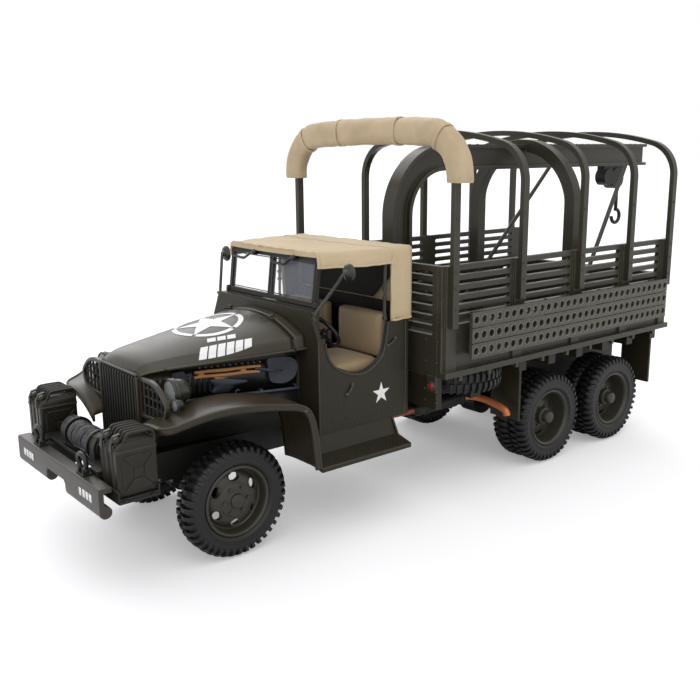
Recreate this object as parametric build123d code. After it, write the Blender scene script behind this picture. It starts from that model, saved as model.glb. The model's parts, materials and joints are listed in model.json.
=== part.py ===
from build123d import *
import math
import os

# A 1:43 scale model of an open-cab, three-axle military cargo truck with a hoist beam over its bed.
# Units are millimetres. X points to the front bumper, Y to the truck's left, Z up.
# While a piece is built, x = 0 is the front axle line. The whole model is shifted at export, so that
# the origin is on the ground under the middle of the overall length.

# ---- driving dimensions: overall layout ----
axle_to_middle = 63.17          # front axle line to the middle of the overall length
middle_axle_x = -84.18
rear_axle_x = -109.44
wheel_radius = 10.85            # to the tips of the lugs
running_clearance = 0.05        # radial, pin in axle bore
press_clearance = 0.01          # radial, pin in rim and rim in tyre
far = 300.0                     # past the whole model, for cuts that run through
sink = 0.1                      # how far a solid runs into the one that it is fused to

# ---- wheels ----
pin_radius = 1.0
rim_radius = 6.78
rim_wall = 0.7
hub_radius = 2.1
front_tyre_width = 5.0
front_track_out = 19.07         # outer tyre face from the centre plane
dual_tyre_width = 4.4
dual_gap = 0.6
rear_track_out = 24.2
tyre_root_radius = 10.2         # between the lugs
tyre_side_radius = 9.4          # edge of the flat side
tyre_shoulder = 1.1
lug_count = 26
lug_foot_share = 0.34           # half width of a lug's foot and tip, as shares of the lug pitch
lug_tip_share = 0.28
plain_tyre_sides = 24           # inner tyres of the dual pairs, whose tread is hidden
hand_hole_count = 6
hand_hole_radius = 0.95
hand_hole_ring = 4.55
front_disc_depth = 1.2          # disc set in from the outer tyre face
front_disc_thickness = 1.0
rear_disc_depth = 3.4
rear_disc_thickness = 1.0
hub_cap_radius = 1.5
hub_cap_out = 0.3               # hub cap end, short of the outer tyre face

# ---- chassis frame ----
rail_out = 10.0                 # outer faces of the rails from the centre plane
rail_thickness = 1.6
rail_bottom = 15.5
rail_top = 20.3
frame_front_x = 24.0
frame_rear_x = -129.0
crossmember_x = (16.0, -22.0, -66.0, -96.8, -122.0)
crossmember_width = 2.4
crossmember_height = 2.6
member_below_top = 0.6          # top of a crossmember below the top of the rails
screw_radius = 1.1
screw_post_radius = 2.3
screw_post_height = 2.8
sill_top = 24.2                 # bed sills, one piece with the rails behind the cab
sill_width = 2.6
sill_front_x = -72.0

# ---- axles and springs ----
axle_tube_radius = 1.9
diff_radius = 3.7
diff_length = 5.2
front_axle_half = 12.4
rear_axle_half = 13.2
front_diff_y = -3.6
knuckle_radius = 2.5
knuckle_inset = 1.6             # knuckle's middle in from the end of the housing
spring_width = 1.8
spring_leaf = 0.7
spring_leaf_count = 4
spring_leaf_step = 0.22         # each leaf is this share of the half length shorter than the one above
spring_seat_half = 1.3          # half length of the block between spring and axle
front_spring_half_length = 11.0
rear_spring_half_length = 15.0

# ---- engine sump, gearbox, transfer case and shafts ----
sump_x = (-16.0, 9.0)
sump_half = 4.6
sump_bottom = 15.0
gearbox_x = (-33.0, -16.0)
gearbox_half = 3.0
gearbox_height = 3.4
transfer_x = (-60.0, -51.0)
transfer_half = 4.4
transfer_z = (13.4, 19.4)
front_shaft_end = (-diff_radius * 0.8, front_diff_y, wheel_radius + 1.4)
# start and end of each shaft (x, y, z), radius
shaft_table = (
    ((-32.0, 0.0, 15.6), (-51.5, 0.0, 16.0), 0.9),
    ((-16.5, front_diff_y, 14.6), (-52.0, front_diff_y, 15.6), 0.7),
    ((-17.0, front_diff_y, 14.55), front_shaft_end, 0.7),
    ((-59.5, 0.0, 15.6), (middle_axle_x + 2.6, 0.0, wheel_radius + 1.6), 0.8),
    ((-59.5, 3.2, 16.4), (rear_axle_x + 2.4, 0.8, wheel_radius + 2.0), 0.6),
)

# ---- front bumper and shackles ----
bumper_front_x = 26.36
bumper_half_width = 18.72
bumper_bottom = 14.62
bumper_top = 19.96
bumper_thickness = 1.0
bumper_notch_half = 4.0
bumper_notch_top = 17.4
bumper_lip = 1.1
shackle_y = 10.0
shackle_ring = 1.5
shackle_wire = 0.42
shackle_base = 1.3             # half width of its foot
shackle_foot_half = 0.8
shackle_foot_height = 0.9
shackle_set_back = 1.3

# ---- winch ----
winch_x = 19.6
winch_z = 22.6
winch_drum_radius = 1.7
winch_flange_radius = 2.9
winch_flange_thickness = 0.7
winch_half_width = 5.2
winch_end_width = 2.2
winch_clearance = 0.05
cradle_half_length = 3.4
cradle_bar = 0.3
cradle_height = 0.6
cradle_reach = 2.0              # cradle past the outer faces of the rails
gear_case_radius = 2.4
gear_case_z = winch_z + 0.2
can_arm_length = 7.9

# ---- fuel cans and their trays ----
can_count = 2
can_thickness = 3.15
can_gap = 0.4
can_length = 6.7
can_front_x = 23.3
can_inner_y = 13.3
can_bottom = 18.0
can_top = 25.4
can_shoulder = 1.0
can_handle_top = 28.4
can_handle_bar = 0.55
can_panel_inset = 0.9           # raised panel on a can's broad outer faces
can_panel_height = 0.15
can_groove = 0.5
tray_thickness = 0.8
tray_margin = 0.4
tray_lip = 1.1
tray_lip_thickness = 0.35
can_shoulder_rise = 0.5
can_shoulder_front = 1.4
can_shoulder_rear = 1.0
can_handle_rear = 1.2           # handle in from the rear and front faces
can_handle_front = 1.9
can_cap_radius = 0.75
can_cap = ((1.0, -0.6), (0.5, 1.4))     # ends of the cap: behind the front face, above the shoulder

# ---- radiator grille, brush guards and lamps ----
grille_x = 13.1
grille_depth = 0.8
grille_half_width = 7.6
grille_bottom = 20.6
grille_top = 34.9
grille_bar_count = 14
grille_bar = 0.5
grille_frame = 0.6
grille_cross_z = (24.0, 28.5, 32.0)
grille_cross = 0.5
guard_bar = 0.7
# corners of a lamp guard: y, z
guard_corners = ((grille_half_width - 0.1, 28.6), (grille_half_width - 0.1, 35.0), (15.6, 35.2), (19.6, 31.8),
                 (18.6, 30.4))
guard_back = 0.3                # guard ahead of the back of the grille
guard_rod = 0.5
guard_rod_y = (9.9, 11.6, 13.3, 15.0, 16.7)
guard_rod_z = (31.0, 33.0)
lamp_y = 15.5
lamp_z = 33.0
lamp_front_x = 12.8
lamp_radius = 2.5
lamp_depth = 4.2
marker_y = 18.6
marker_z = 31.4
marker_radius = 1.15
marker_depth = 2.2
marker_set_back = 0.6           # behind the front of the headlamp
lens_thickness = 0.4
lens_inset = 0.2                # lens radius inside the shell
lamp_shell_share = 0.45         # straight part of a lamp's shell, as a share of its depth
lamp_post_radius = 0.6
lamp_post_back = 2.0
lamp_foot_z = 30.0

# ---- hood and engine bay ----
hood_skirt_z = 34.6
hood_foot_inset = 0.2           # foot of the hood inside the sides of the engine bay
tool_root_y = 5.0               # tools start inside the bay, so that they are one piece with its sides
cab_front_x = -18.6
bay_front_half = 7.6
bay_rear_half = 13.2
bay_bottom = 20.6
# x, crown height, half width at the lip, lip height
hood_stations = (
    (12.7, 35.7, 7.9, 34.9),
    (11.0, 37.3, 9.2, 35.2),
    (7.7, 38.1, 10.4, 35.5),
    (-1.6, 39.8, 11.9, 35.6),
    (-10.0, 41.1, 13.1, 35.6),
    (-18.6, 42.3, 14.3, 35.6),
)
hood_crease = 0.76              # crease, as a share of the half width and of the drop from crown to lip
hood_crease_drop = 0.47

# ---- tools on the sides of the engine bay ----
tool_rod_radius = 0.32
# start and end of each handle: x, y, z
tool_handles = (((2.6, 11.2, 33.9), (-11.2, 13.2, 33.8)), ((2.7, 11.2, 33.1), (-9.4, 12.9, 32.7)))
tool_clip_x = (1.3, -6.9)
tool_clip_width = 1.0
tool_clip_z = (32.5, 34.0)
tool_rail = ((5.8, 10.8, 29.5), (-18.3, 14.2, 28.6))
rail_foot_x = (4.6, -4.9, -17.2)
blade_y = 13.8
blade_outline = ((-11.5, 34.5), (-14.6, 34.5), (-18.2, 33.7), (-18.0, 31.3), (-15.1, 29.4), (-12.2, 30.0))
pick_y = 12.0
pick_outline = ((-0.6, 31.9), (-7.9, 30.7), (-4.3, 29.6), (-0.9, 29.8))

# ---- front fenders and running boards ----
fender_out = 24.8
fender_in = 13.8
fender_sheet = 0.9
fender_flange = 1.3             # edge turned down all round the outside
fender_edge = 0.6
fender_crown_y = 15.5           # inboard of here the fender falls away to the engine bay
fender_foot_y = 8.6
fender_fall = 2.4
fender_level_z = 27.0           # the part of the profile above this lies flat, the rest stands
fender_corner = 3.0
# outer face of the sheet: x, z
fender_profile = (
    (17.6, 29.0), (15.0, 29.7), (10.6, 30.5), (4.8, 30.9), (-1.2, 30.6),
    (-7.6, 29.5), (-10.9, 28.4), (-12.9, 26.3), (-14.0, 22.2), (-14.8, 15.3),
)
board_rear_x = -37.6
board_inner_y = 20.4
board_z = 15.3
board_rise = 1.0
board_thickness = 0.9
board_sill = 0.6                # riser's sheet, up to the cab

# ---- cab ----
cab_half_width = 19.0
cab_wall = 0.8
cab_rear_x = -42.0
cab_bottom = 19.4
cab_floor_z = 22.6
cab_shoulder_z = 38.4
cab_rear_top = 39.7
cowl_top_z = 43.65
cowl_half_width = 16.4
# doorway's edge, lines and two arcs through these: x, z
door_rear_x = -36.4
door_front_x = -20.4
door_line = ((door_front_x, 37.4), (-23.6, 31.9), (-29.5, 30.2), (-34.4, 32.6), (door_rear_x, 39.7))
cab_floor_thickness = 1.2
cowl_depth = 2.4
cowl_height = 4.5

# ---- windshield ----
screen_bottom_x = -19.9
screen_top_x = -21.4
screen_top_z = 53.2
screen_half_width = 15.6
screen_bar = 1.0
screen_depth = 0.9
glass_thickness = 0.35

# ---- canvas top ----
top_front_x = -19.6
top_inset = 1.2                 # side of the canvas in from the side of the cab
top_half_width = cab_half_width - top_inset
top_sheet = 0.7
top_z = 54.4
top_valance = 3.0
top_strip_x = -37.6
top_corner = 1.3
top_crown = 0.35
top_end = 0.6                   # canvas behind the cab, and the lip in front of the screen
flap_rise = 0.15                # rear flaps and their band stand above the top
flap_corner = 2.5               # corner of the rear flaps, which stand flush with the cab's sides

# ---- cab fittings ----
mirror_y = 21.8
mirror_x = -23.0
mirror_z = 51.0
mirror_radius = 1.75
mirror_thickness = 0.7
mirror_arm = 0.4
mirror_foot = (cab_front_x - 0.4, 17.0, 41.9)
wiper_bar = 0.3
wiper_hub = (7.5, 52.7)         # y, z
wiper_tip = (4.5, 47.5)
wiper_ahead = 0.3               # in front of the screen
seat_front_x = -25.0
seat_rear_x = -39.2
seat_inner_y = 2.2
seat_outer_y = 16.4
seat_cushion_top = 32.0
seat_cushion_thickness = 3.2
seat_back_top = 41.0
seat_back_thickness = 2.8
seat_round = 0.7
seat_box_inset = 0.8
seat_box_toe = 1.6
wheel_ring_radius = 3.7
wheel_ring_bar = 0.4
wheel_y = 9.6
wheel_hub_x = -27.6
wheel_hub_z = 37.4
column_foot_z = 29.0
column_radius = 0.5
wheel_hub_radius = 0.9
wheel_spoke_radius = 0.28
wheel_spoke_count = 3

# ---- cargo bed ----
bed_front_x = -45.55
bed_rear_x = -128.6
bed_half_width = 25.0
bed_wall = 1.2
bed_bottom = 27.4
bed_floor_top = 29.4
bed_top = 50.5
bed_rail_out = 26.5
bed_rail_height = 1.2
slot_height = 0.95
slot_pitch = 2.05
side_slot_rows = 6
front_slot_rows = 7
slot_margin = 2.4               # ends of a slot from the bow beside it
slot_first = 0.8                # first slot below the top, in pitches
front_slot_columns = 4
front_slot_gap = 2.6
tailgate_top = 41.5
tailgate_rib_width = 1.8
tailgate_rib_depth = 0.5
tailgate_rib_count = 5
rope_hook_pitch = 9.0
rope_hook = 0.8
rope_hook_drop = 1.0            # below the rail
post_width = 3.0
post_depth = 0.5
bearer_count = 6
bearer_width = 2.4
front_bearer_depth = 1.6

# ---- bows ----
bow_width = 1.6
bow_thickness = 1.2
bow_shoulder_z = 66.5
bow_corner = 9.0
bow_crown = 2.3                 # crown of the roof over the tops of its round corners
bow_top = bow_shoulder_z + bow_corner + bow_crown
# x of the bow, foot height
bow_table = ((-48.0, 37.7), (-69.0, 41.5), (-90.0, 41.5), (-109.5, 41.5), (-127.0, 38.8))

# ---- canvas roll over the first bow ----
roll_over_bow = 3.2             # how far the roll stands out beside the bow
roll_over_top = 2.35
roll_foot_rise = 0.5            # foot of the roll above the bow's shoulder
roll_width = 4.2
roll_thickness = 5.6
roll_corner = 12.0
roll_crown = 0.65
roll_round = 1.3

# ---- perforated planks ----
plank_y = 27.2
plank_thickness = 0.8
plank_front_x = -51.7
plank_rear_x = -124.5
plank_bottom = 31.0
plank_height = 3.1
plank_gap = 0.2
plank_count = 3
plank_hole_count = 31
plank_hole_radius = 0.78
plank_top = plank_bottom + plank_count * plank_height + (plank_count - 1) * plank_gap
plank_bracket_x = (-55.0, -79.5, -99.7, -121.5)
plank_bracket_width = 2.0
plank_bracket_inset = 0.3

# ---- hoist ----
beam_top = 74.55
beam_depth = 5.95
beam_half_flange = 1.85
beam_flange = 0.8
beam_web = 1.2
beam_leg_x = -53.3
beam_corner = 16.0
beam_rear_x = -152.7
hoop_x = -100.2
hoop_half_width = 17.0
hoop_top = beam_top + 1.2
hoop_corner = 13.0
hoop_crown = 2.75
hoop_thickness = 3.0
hoop_depth = 2.8
brace_foot = (-95.2, 18.9, 29.4)
brace_head = (-126.9, 12.1, 69.2)
brace_radius = 0.55
block_x = -138.0
block_half_length = 4.6
block_radius = 2.9
block_z = 65.2
block_thickness = 3.2
block_web = 2.4
# sheaves of the block: x from its middle, z, radius
sheave_table = ((-1.4, block_z, block_radius), (2.6, block_z + 0.4, block_radius - 0.6))
hook_x = block_x - 3.6
hook_shank_radius = 0.5
hook_radius = 1.9
hook_wire = 0.5
hook_z = 54.4

# ---- underneath ----
flap_ahead = 1.0                # front face of a flap ahead of its bearer's middle
flap_inner_y = 15.4
flap_bottom = 12.4
flap_thickness = 0.7
spare_x = -59.4
spare_y = 15.2
spare_bottom = 22.2
spare_width = 4.9
spare_rim_inset = 0.4
spare_disc_thickness = 1.2
carrier_half_width = 1.6
carrier_height = 1.1
carrier_reach = 7.0             # carrier's end past the middle of the spare wheel
carrier_hub_radius = 2.4
muffler_x = (-50.0, -66.0)
muffler_y = 13.0
muffler_z = 15.9
muffler_radius = 2.3
pipe_radius = 0.75
# pipe from the engine to the muffler: x, y, z
pipe_route = ((-12.0, 5.4, 18.5), (-12.0, 5.4, 14.4), (-40.0, 12.4, 14.4),
              (muffler_x[0], muffler_y, muffler_z))
tailpipe = ((muffler_x[1], muffler_y, muffler_z), (muffler_x[1] - 2.0, muffler_y + 1.0, muffler_z + 0.6),
            (-70.3, 22.6, 15.6))
tank_x = (-47.6, -66.0)
tank_y = (11.4, 21.6)
tank_z = (15.4, 25.6)
tank_round = 2.0
tank_arm_x = (tank_x[0] - 4.0, tank_x[1] + 4.0)
tank_arm_half = 0.8
tank_arm_inset = 1.0            # arm below and above the edges of the rail
reflector_radius = 0.9
reflector_depth = 0.5
reflector_y = 22.6
reflector_z = 25.4


# ---- helpers ----
def block(x, y, z):
    size = Box(abs(x[1] - x[0]), abs(y[1] - y[0]), abs(z[1] - z[0]))
    return Pos((x[0] + x[1]) / 2, (y[0] + y[1]) / 2, (z[0] + z[1]) / 2) * size


def side_plate(outline, y):
    """Outline of (x, z) points, from y[0] to y[1]."""
    face = Face(Wire.make_polygon([Vector(px, y[0], pz) for px, pz in outline]))
    return Solid.extrude(face, Vector(0, y[1] - y[0], 0))


def cross_plate(outline, x):
    """Outline of (y, z) points, from x[0] to x[1]."""
    face = Face(Wire.make_polygon([Vector(x[0], py, pz) for py, pz in outline]))
    return Solid.extrude(face, Vector(x[1] - x[0], 0, 0))


def level_plate(outline, z):
    """Outline of (x, y) points, from z[0] to z[1]."""
    face = Face(Wire.make_polygon([Vector(px, py, z[0]) for px, py in outline]))
    return Solid.extrude(face, Vector(0, 0, z[1] - z[0]))


def rod(start, end, radius):
    start, end = Vector(*start), Vector(*end)
    return Solid.make_cylinder(radius, (end - start).length, Plane(origin=start, z_dir=end - start))


def across(radius, y0, y1, x, z):
    """Cylinder along Y."""
    return rod((x, y0, z), (x, y1, z), radius)


def ring_across(outer, inner, y0, y1, x, z):
    return across(outer, y0, y1, x, z) - across(inner, y0 - 1, y1 + 1, x, z)


def mirrored(shape):
    return mirror(shape, about=Plane.XZ)


def both_sides(shape):
    return Compound([shape, mirrored(shape)])


def slot_wire(centre, half_length, half_height, place):
    """Slot with round ends; place turns (along, z) into a point."""
    along, z = centre
    flat = half_length - half_height
    ends = [(along - flat, z - half_height), (along + flat, z - half_height),
            (along + flat, z + half_height), (along - flat, z + half_height)]
    right = place(along + half_length, z)
    left = place(along - half_length, z)
    p = [place(*end) for end in ends]
    return Wire([Edge.make_line(p[0], p[1]), Edge.make_three_point_arc(p[1], right, p[2]),
                 Edge.make_line(p[2], p[3]), Edge.make_three_point_arc(p[3], left, p[0])])


def arch_points(half_width, shoulder_z, corner, top):
    """Shoulder, corner middle and crown start of an arch made of three tangent arcs."""
    reach = half_width - corner
    rise = top - corner - shoulder_z
    crown_z = (top - corner + shoulder_z - reach ** 2 / rise) / 2
    lean = math.atan2(shoulder_z - crown_z, reach)
    return [(reach + corner * math.cos(a), shoulder_z + corner * math.sin(a)) for a in (0, lean / 2, lean)]


def arch(x, foot_z, half_width, shoulder_z, corner, top, thickness):
    """Upside-down U in the YZ plane, between x[0] and x[1]."""
    edges = []
    feet = []
    for inset in (0, thickness):
        shoulder, middle, crown = arch_points(half_width - inset, shoulder_z, corner - inset, top - inset)
        left = [Vector(x[0], py, pz) for py, pz in (shoulder, middle, crown)]
        right = [Vector(x[0], -py, pz) for py, pz in (shoulder, middle, crown)]
        foot_left = Vector(x[0], half_width - inset, foot_z)
        foot_right = Vector(x[0], inset - half_width, foot_z)
        edges += [Edge.make_line(foot_left, left[0]),
                  Edge.make_three_point_arc(left[0], left[1], left[2]),
                  Edge.make_three_point_arc(left[2], Vector(x[0], 0, top - inset), right[2]),
                  Edge.make_three_point_arc(right[2], right[1], right[0]),
                  Edge.make_line(right[0], foot_right)]
        feet.append((foot_left, foot_right))
    edges += [Edge.make_line(feet[0][0], feet[1][0]), Edge.make_line(feet[0][1], feet[1][1])]
    face = Face(Wire.combine(edges)[0])
    return Solid.extrude(face, Vector(x[1] - x[0], 0, 0))


# ---- wheels ----
def ring_wire(radius, y, angles):
    """Closed polygon round the wheel's axis; radius is one value, or one for each angle."""
    radii = radius if isinstance(radius, list) else [radius] * len(angles)
    return Wire.make_polygon([Vector(r * math.cos(a), y, r * math.sin(a)) for r, a in zip(radii, angles)])


def tyre(centre_x, y_in, y_out, lugs=True):
    """Flat-sided tyre whose lugs run over its sloping shoulders; every face is plane."""
    half = (y_out - y_in) / 2
    steps = lug_count if lugs else plain_tyre_sides
    pitch = 2 * math.pi / steps
    foot_angles, lug_angles, lug_radii = [], [], []
    for index in range(steps):
        middle = -math.pi / 2 + index * pitch
        foot_angles += [middle - lug_foot_share * pitch, middle + lug_foot_share * pitch]
        lug_angles += [middle + share * pitch
                       for share in (-lug_foot_share, -lug_tip_share, lug_tip_share, lug_foot_share)]
        lug_radii += [tyre_root_radius, wheel_radius, wheel_radius, tyre_root_radius]
    tip = wheel_radius / math.cos(lug_tip_share * pitch)
    outer = wheel_radius / math.cos(lug_foot_share * pitch) + 0.05
    if lugs:
        lug_radii = [tip if radius == wheel_radius else radius for radius in lug_radii]
        body = Solid.extrude(Face(ring_wire(lug_radii, -half, lug_angles)), Vector(0, 2 * half, 0))
    else:
        flat_angles = [-math.pi / 2 + (index + 0.5) * pitch for index in range(steps)]
        flat_radius = wheel_radius / math.cos(pitch / 2)
        body = Solid.extrude(Face(ring_wire(flat_radius, -half, flat_angles)), Vector(0, 2 * half, 0))
    shoulders = [(-half, tyre_side_radius), (tyre_shoulder - half, outer), (half - tyre_shoulder, outer),
                 (half, tyre_side_radius)]
    if lugs:
        body &= Solid.make_loft([ring_wire(radius, y, foot_angles) for y, radius in shoulders], True)
    bore_angles = [index * pitch for index in range(steps)]
    bore_radius = (rim_radius + press_clearance) / math.cos(pitch / 2)
    body -= Solid.extrude(Face(ring_wire(bore_radius, -half - 1, bore_angles)), Vector(0, 2 * half + 2, 0))
    return Pos(centre_x, (y_in + y_out) / 2, wheel_radius) * body


def disc_wheel(centre_x, disc_y, disc_thickness, band_y, hub_y):
    """Rim band, disc with hand holes and a hub; each y pair runs from the inside out."""
    wheel = ring_across(rim_radius, rim_radius - rim_wall, band_y[0], band_y[1], centre_x, wheel_radius)
    disc = across(rim_radius - rim_wall / 2, disc_y, disc_y + disc_thickness, centre_x, wheel_radius)
    for index in range(hand_hole_count):
        angle = 2 * math.pi * index / hand_hole_count
        hole_x = centre_x + hand_hole_ring * math.cos(angle)
        hole_z = wheel_radius + hand_hole_ring * math.sin(angle)
        disc -= across(hand_hole_radius, disc_y - 1, disc_y + disc_thickness + 1, hole_x, hole_z)
    wheel += disc
    wheel += across(hub_radius, hub_y[0], disc_y + disc_thickness / 2, centre_x, wheel_radius)
    wheel += across(hub_cap_radius, disc_y, hub_y[1], centre_x, wheel_radius)
    bore_end = hub_y[1] - 0.8
    wheel -= across(pin_radius + press_clearance, hub_y[0] - 1, bore_end, centre_x, wheel_radius)
    return wheel, bore_end


front_tyre_in = front_track_out - front_tyre_width
front_disc_y = front_track_out - front_disc_depth - front_disc_thickness
front_rim, front_pin_end = disc_wheel(0, front_disc_y, front_disc_thickness,
                                      (front_tyre_in + 0.3, front_track_out - 0.3),
                                      (front_tyre_in + 0.3, front_track_out - hub_cap_out))
dual_in = rear_track_out - 2 * dual_tyre_width - dual_gap
rear_disc_y = rear_track_out - rear_disc_depth - rear_disc_thickness
nodes = {
    "front_tyre_left": tyre(0, front_tyre_in, front_track_out),
    "front_rim_left": front_rim,
    "front_axle_pin": across(pin_radius, -front_pin_end, front_pin_end, 0, wheel_radius),
}
for name, axle_x in (("middle", middle_axle_x), ("rear", rear_axle_x)):
    rim, pin_end = disc_wheel(axle_x, rear_disc_y, rear_disc_thickness,
                              (dual_in + 0.3, rear_track_out - 0.3),
                              (dual_in + 0.3, rear_track_out - hub_cap_out))
    inner_tyre = tyre(axle_x, dual_in, dual_in + dual_tyre_width, False)
    outer_tyre = tyre(axle_x, rear_track_out - dual_tyre_width, rear_track_out)
    nodes[name + "_tyres_left"] = Compound([inner_tyre, outer_tyre])
    nodes[name + "_rims_left"] = rim
    nodes[name + "_axle_pin"] = across(pin_radius, -pin_end, pin_end, axle_x, wheel_radius)
for name in [key for key in nodes if key.endswith("_left")]:
    nodes[name.replace("_left", "_right")] = mirrored(nodes[name])

# ---- chassis frame ----
member_top = rail_top - member_below_top
member_bottom = member_top - crossmember_height
frame = None
for side in (1, -1):
    rail_y = (side * (rail_out - rail_thickness), side * rail_out)
    rail = block((frame_rear_x, frame_front_x), rail_y, (rail_bottom, rail_top))
    frame = rail if frame is None else frame + rail
for member_x in crossmember_x:
    frame += block((member_x - crossmember_width / 2, member_x + crossmember_width / 2),
                   (-rail_out + rail_thickness / 2, rail_out - rail_thickness / 2),
                   (member_bottom, member_top))
for side in (1, -1):
    frame += block((frame_rear_x + 1.4, sill_front_x), (side * (rail_out - sill_width), side * rail_out),
                   (rail_top - rail_thickness, sill_top))
nodes["chassis_frame"] = frame

# ---- hollow posts for the screws that hold the model to a display base ----
posts = []
for screw_x in (crossmember_x[0], crossmember_x[-1]):
    posts.append(rod((screw_x, 0, member_bottom - screw_post_height), (screw_x, 0, member_bottom),
                     screw_post_radius)
                 - rod((screw_x, 0, member_bottom - screw_post_height - 1), (screw_x, 0, member_bottom + 1),
                       screw_radius))
nodes["display_screw_posts"] = Compound(posts)


# ---- axle housings ----
def housing(centre_x, half_length, diff_y, knuckle):
    body = across(axle_tube_radius, -half_length, half_length, centre_x, wheel_radius)
    body += across(diff_radius, diff_y - diff_length / 2, diff_y + diff_length / 2, centre_x, wheel_radius)
    if knuckle:
        for side in (1, -1):
            body += Pos(centre_x, side * (half_length - knuckle_inset), wheel_radius) * Sphere(knuckle_radius)
        body &= block((-far, far), (-half_length, half_length), (0, far))
    bore = across(pin_radius + running_clearance, -half_length - 1, half_length + 1, centre_x, wheel_radius)
    return body - bore


front_axle = housing(0, front_axle_half, front_diff_y, True)
bogie_axles = [housing(axle_x, rear_axle_half, 0, False) for axle_x in (middle_axle_x, rear_axle_x)]

# ---- leaf springs: stacks of leaves between the axle tubes and the rails ----
spring_y = rail_out - rail_thickness / 2
axle_tube_top = wheel_radius + axle_tube_radius


def spring_stack(centre_x, half_length, low_z):
    pack = None
    for leaf in range(spring_leaf_count):
        reach = half_length * (1 - spring_leaf_step * (spring_leaf_count - 1 - leaf))
        low = low_z + leaf * spring_leaf
        plate = block((centre_x - reach, centre_x + reach),
                      (spring_y - spring_width / 2, spring_y + spring_width / 2), (low, low + spring_leaf))
        pack = plate if pack is None else pack + plate
    return pack


spring_seat = rail_bottom - spring_leaf_count * spring_leaf
front_spring = spring_stack(0, front_spring_half_length, spring_seat)
bogie_x = (middle_axle_x + rear_axle_x) / 2
rear_spring = spring_stack(bogie_x, rear_spring_half_length, spring_seat)


def spring_block(centre_x, high):
    return block((centre_x - spring_seat_half, centre_x + spring_seat_half),
                 (spring_y - spring_width / 2, spring_y + spring_width / 2), (axle_tube_top - sink / 5, high))


for seat_x in (middle_axle_x, rear_axle_x):
    rear_spring += spring_block(seat_x, spring_seat + 3 * spring_leaf)
front_spring += spring_block(0, spring_seat + spring_leaf)
nodes["leaf_springs"] = Compound([front_spring, mirrored(front_spring), rear_spring, mirrored(rear_spring)])
nodes["front_axle"] = front_axle - nodes["leaf_springs"]
nodes["bogie_axles"] = Compound([axle - nodes["leaf_springs"] for axle in bogie_axles])

# ---- engine sump, gearbox, transfer case and shafts ----
drivetrain = block(sump_x, (-sump_half, sump_half), (sump_bottom, bay_bottom))
drivetrain += block(gearbox_x, (-gearbox_half, gearbox_half), (member_bottom - gearbox_height, member_bottom))
drivetrain += block(transfer_x, (-transfer_half, transfer_half), transfer_z)
for start, end, radius in shaft_table:
    drivetrain += rod(start, end, radius)
for axle in [nodes["front_axle"]] + bogie_axles:
    drivetrain -= axle
nodes["drivetrain"] = drivetrain

# ---- front bumper ----
bumper_back_x = frame_front_x
bumper = block((bumper_front_x - bumper_thickness, bumper_front_x), (-bumper_half_width, bumper_half_width),
               (bumper_bottom, bumper_top))
bumper += block((bumper_back_x, bumper_front_x), (-bumper_half_width, bumper_half_width),
                (bumper_top - bumper_thickness, bumper_top))
bumper += across(bumper_lip, -bumper_half_width, bumper_half_width,
                 bumper_front_x - bumper_lip, bumper_bottom + bumper_lip)
bumper -= block((bumper_back_x - 1, bumper_front_x + 1), (-bumper_notch_half, bumper_notch_half),
                (bumper_bottom - 1, bumper_notch_top))
# ---- tow shackles, one piece with the bumper ----
shackle_x = bumper_front_x - shackle_set_back
foot_top = bumper_top + shackle_foot_height
shackle = block((shackle_x - shackle_foot_half, shackle_x + shackle_foot_half),
                (shackle_y - shackle_base, shackle_y + shackle_base), (bumper_top, foot_top))
shackle += Pos(shackle_x, shackle_y, foot_top + shackle_ring) * Rot(0, 90, 0) * Torus(shackle_ring, shackle_wire)
nodes["front_bumper"] = bumper + shackle + mirrored(shackle)

# ---- winch ----
drum = across(winch_drum_radius, -winch_half_width, winch_half_width, winch_x, winch_z)
for side in (1, -1):
    drum += across(winch_flange_radius, side * (winch_half_width - winch_flange_thickness),
                   side * winch_half_width, winch_x, winch_z)
nodes["winch_drum"] = drum
cradle_x = (winch_x - cradle_half_length, winch_x + cradle_half_length)
cradle_top = rail_top + cradle_height
cradle = block(cradle_x, (-rail_out - cradle_reach, rail_out + cradle_reach), (rail_top, cradle_top))
cradle -= block((cradle_x[0] + cradle_bar, cradle_x[1] - cradle_bar),
                (-winch_half_width - winch_clearance, winch_half_width + winch_clearance), (0, far))
for side in (1, -1):
    case_y = (side * (winch_half_width + winch_clearance),
              side * (winch_half_width + winch_clearance + winch_end_width))
    cradle += block((winch_x - gear_case_radius, winch_x + gear_case_radius), case_y, (rail_top, gear_case_z))
    cradle += across(gear_case_radius, case_y[0], case_y[1], winch_x, gear_case_z)
    cradle += block((frame_front_x - can_arm_length, frame_front_x),
                    (side * rail_out, side * (can_inner_y - can_panel_height)),
                    (can_bottom - tray_thickness, cradle_top))
# ---- fuel cans and trays ----
can_outer_y = can_inner_y + can_count * can_thickness + (can_count - 1) * can_gap
can_rear_x = can_front_x - can_length
tray_x = (can_rear_x - tray_margin, can_front_x + tray_margin)
tray_y = (can_inner_y - tray_margin, can_outer_y + tray_margin)
tray = block(tray_x, tray_y, (can_bottom - tray_thickness, can_bottom))
for lip_x in (tray_x[0], tray_x[1] - tray_lip_thickness):
    tray += block((lip_x, lip_x + tray_lip_thickness), tray_y, (can_bottom, can_bottom + tray_lip))
nodes["winch_frame"] = cradle + tray + mirrored(tray)


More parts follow.
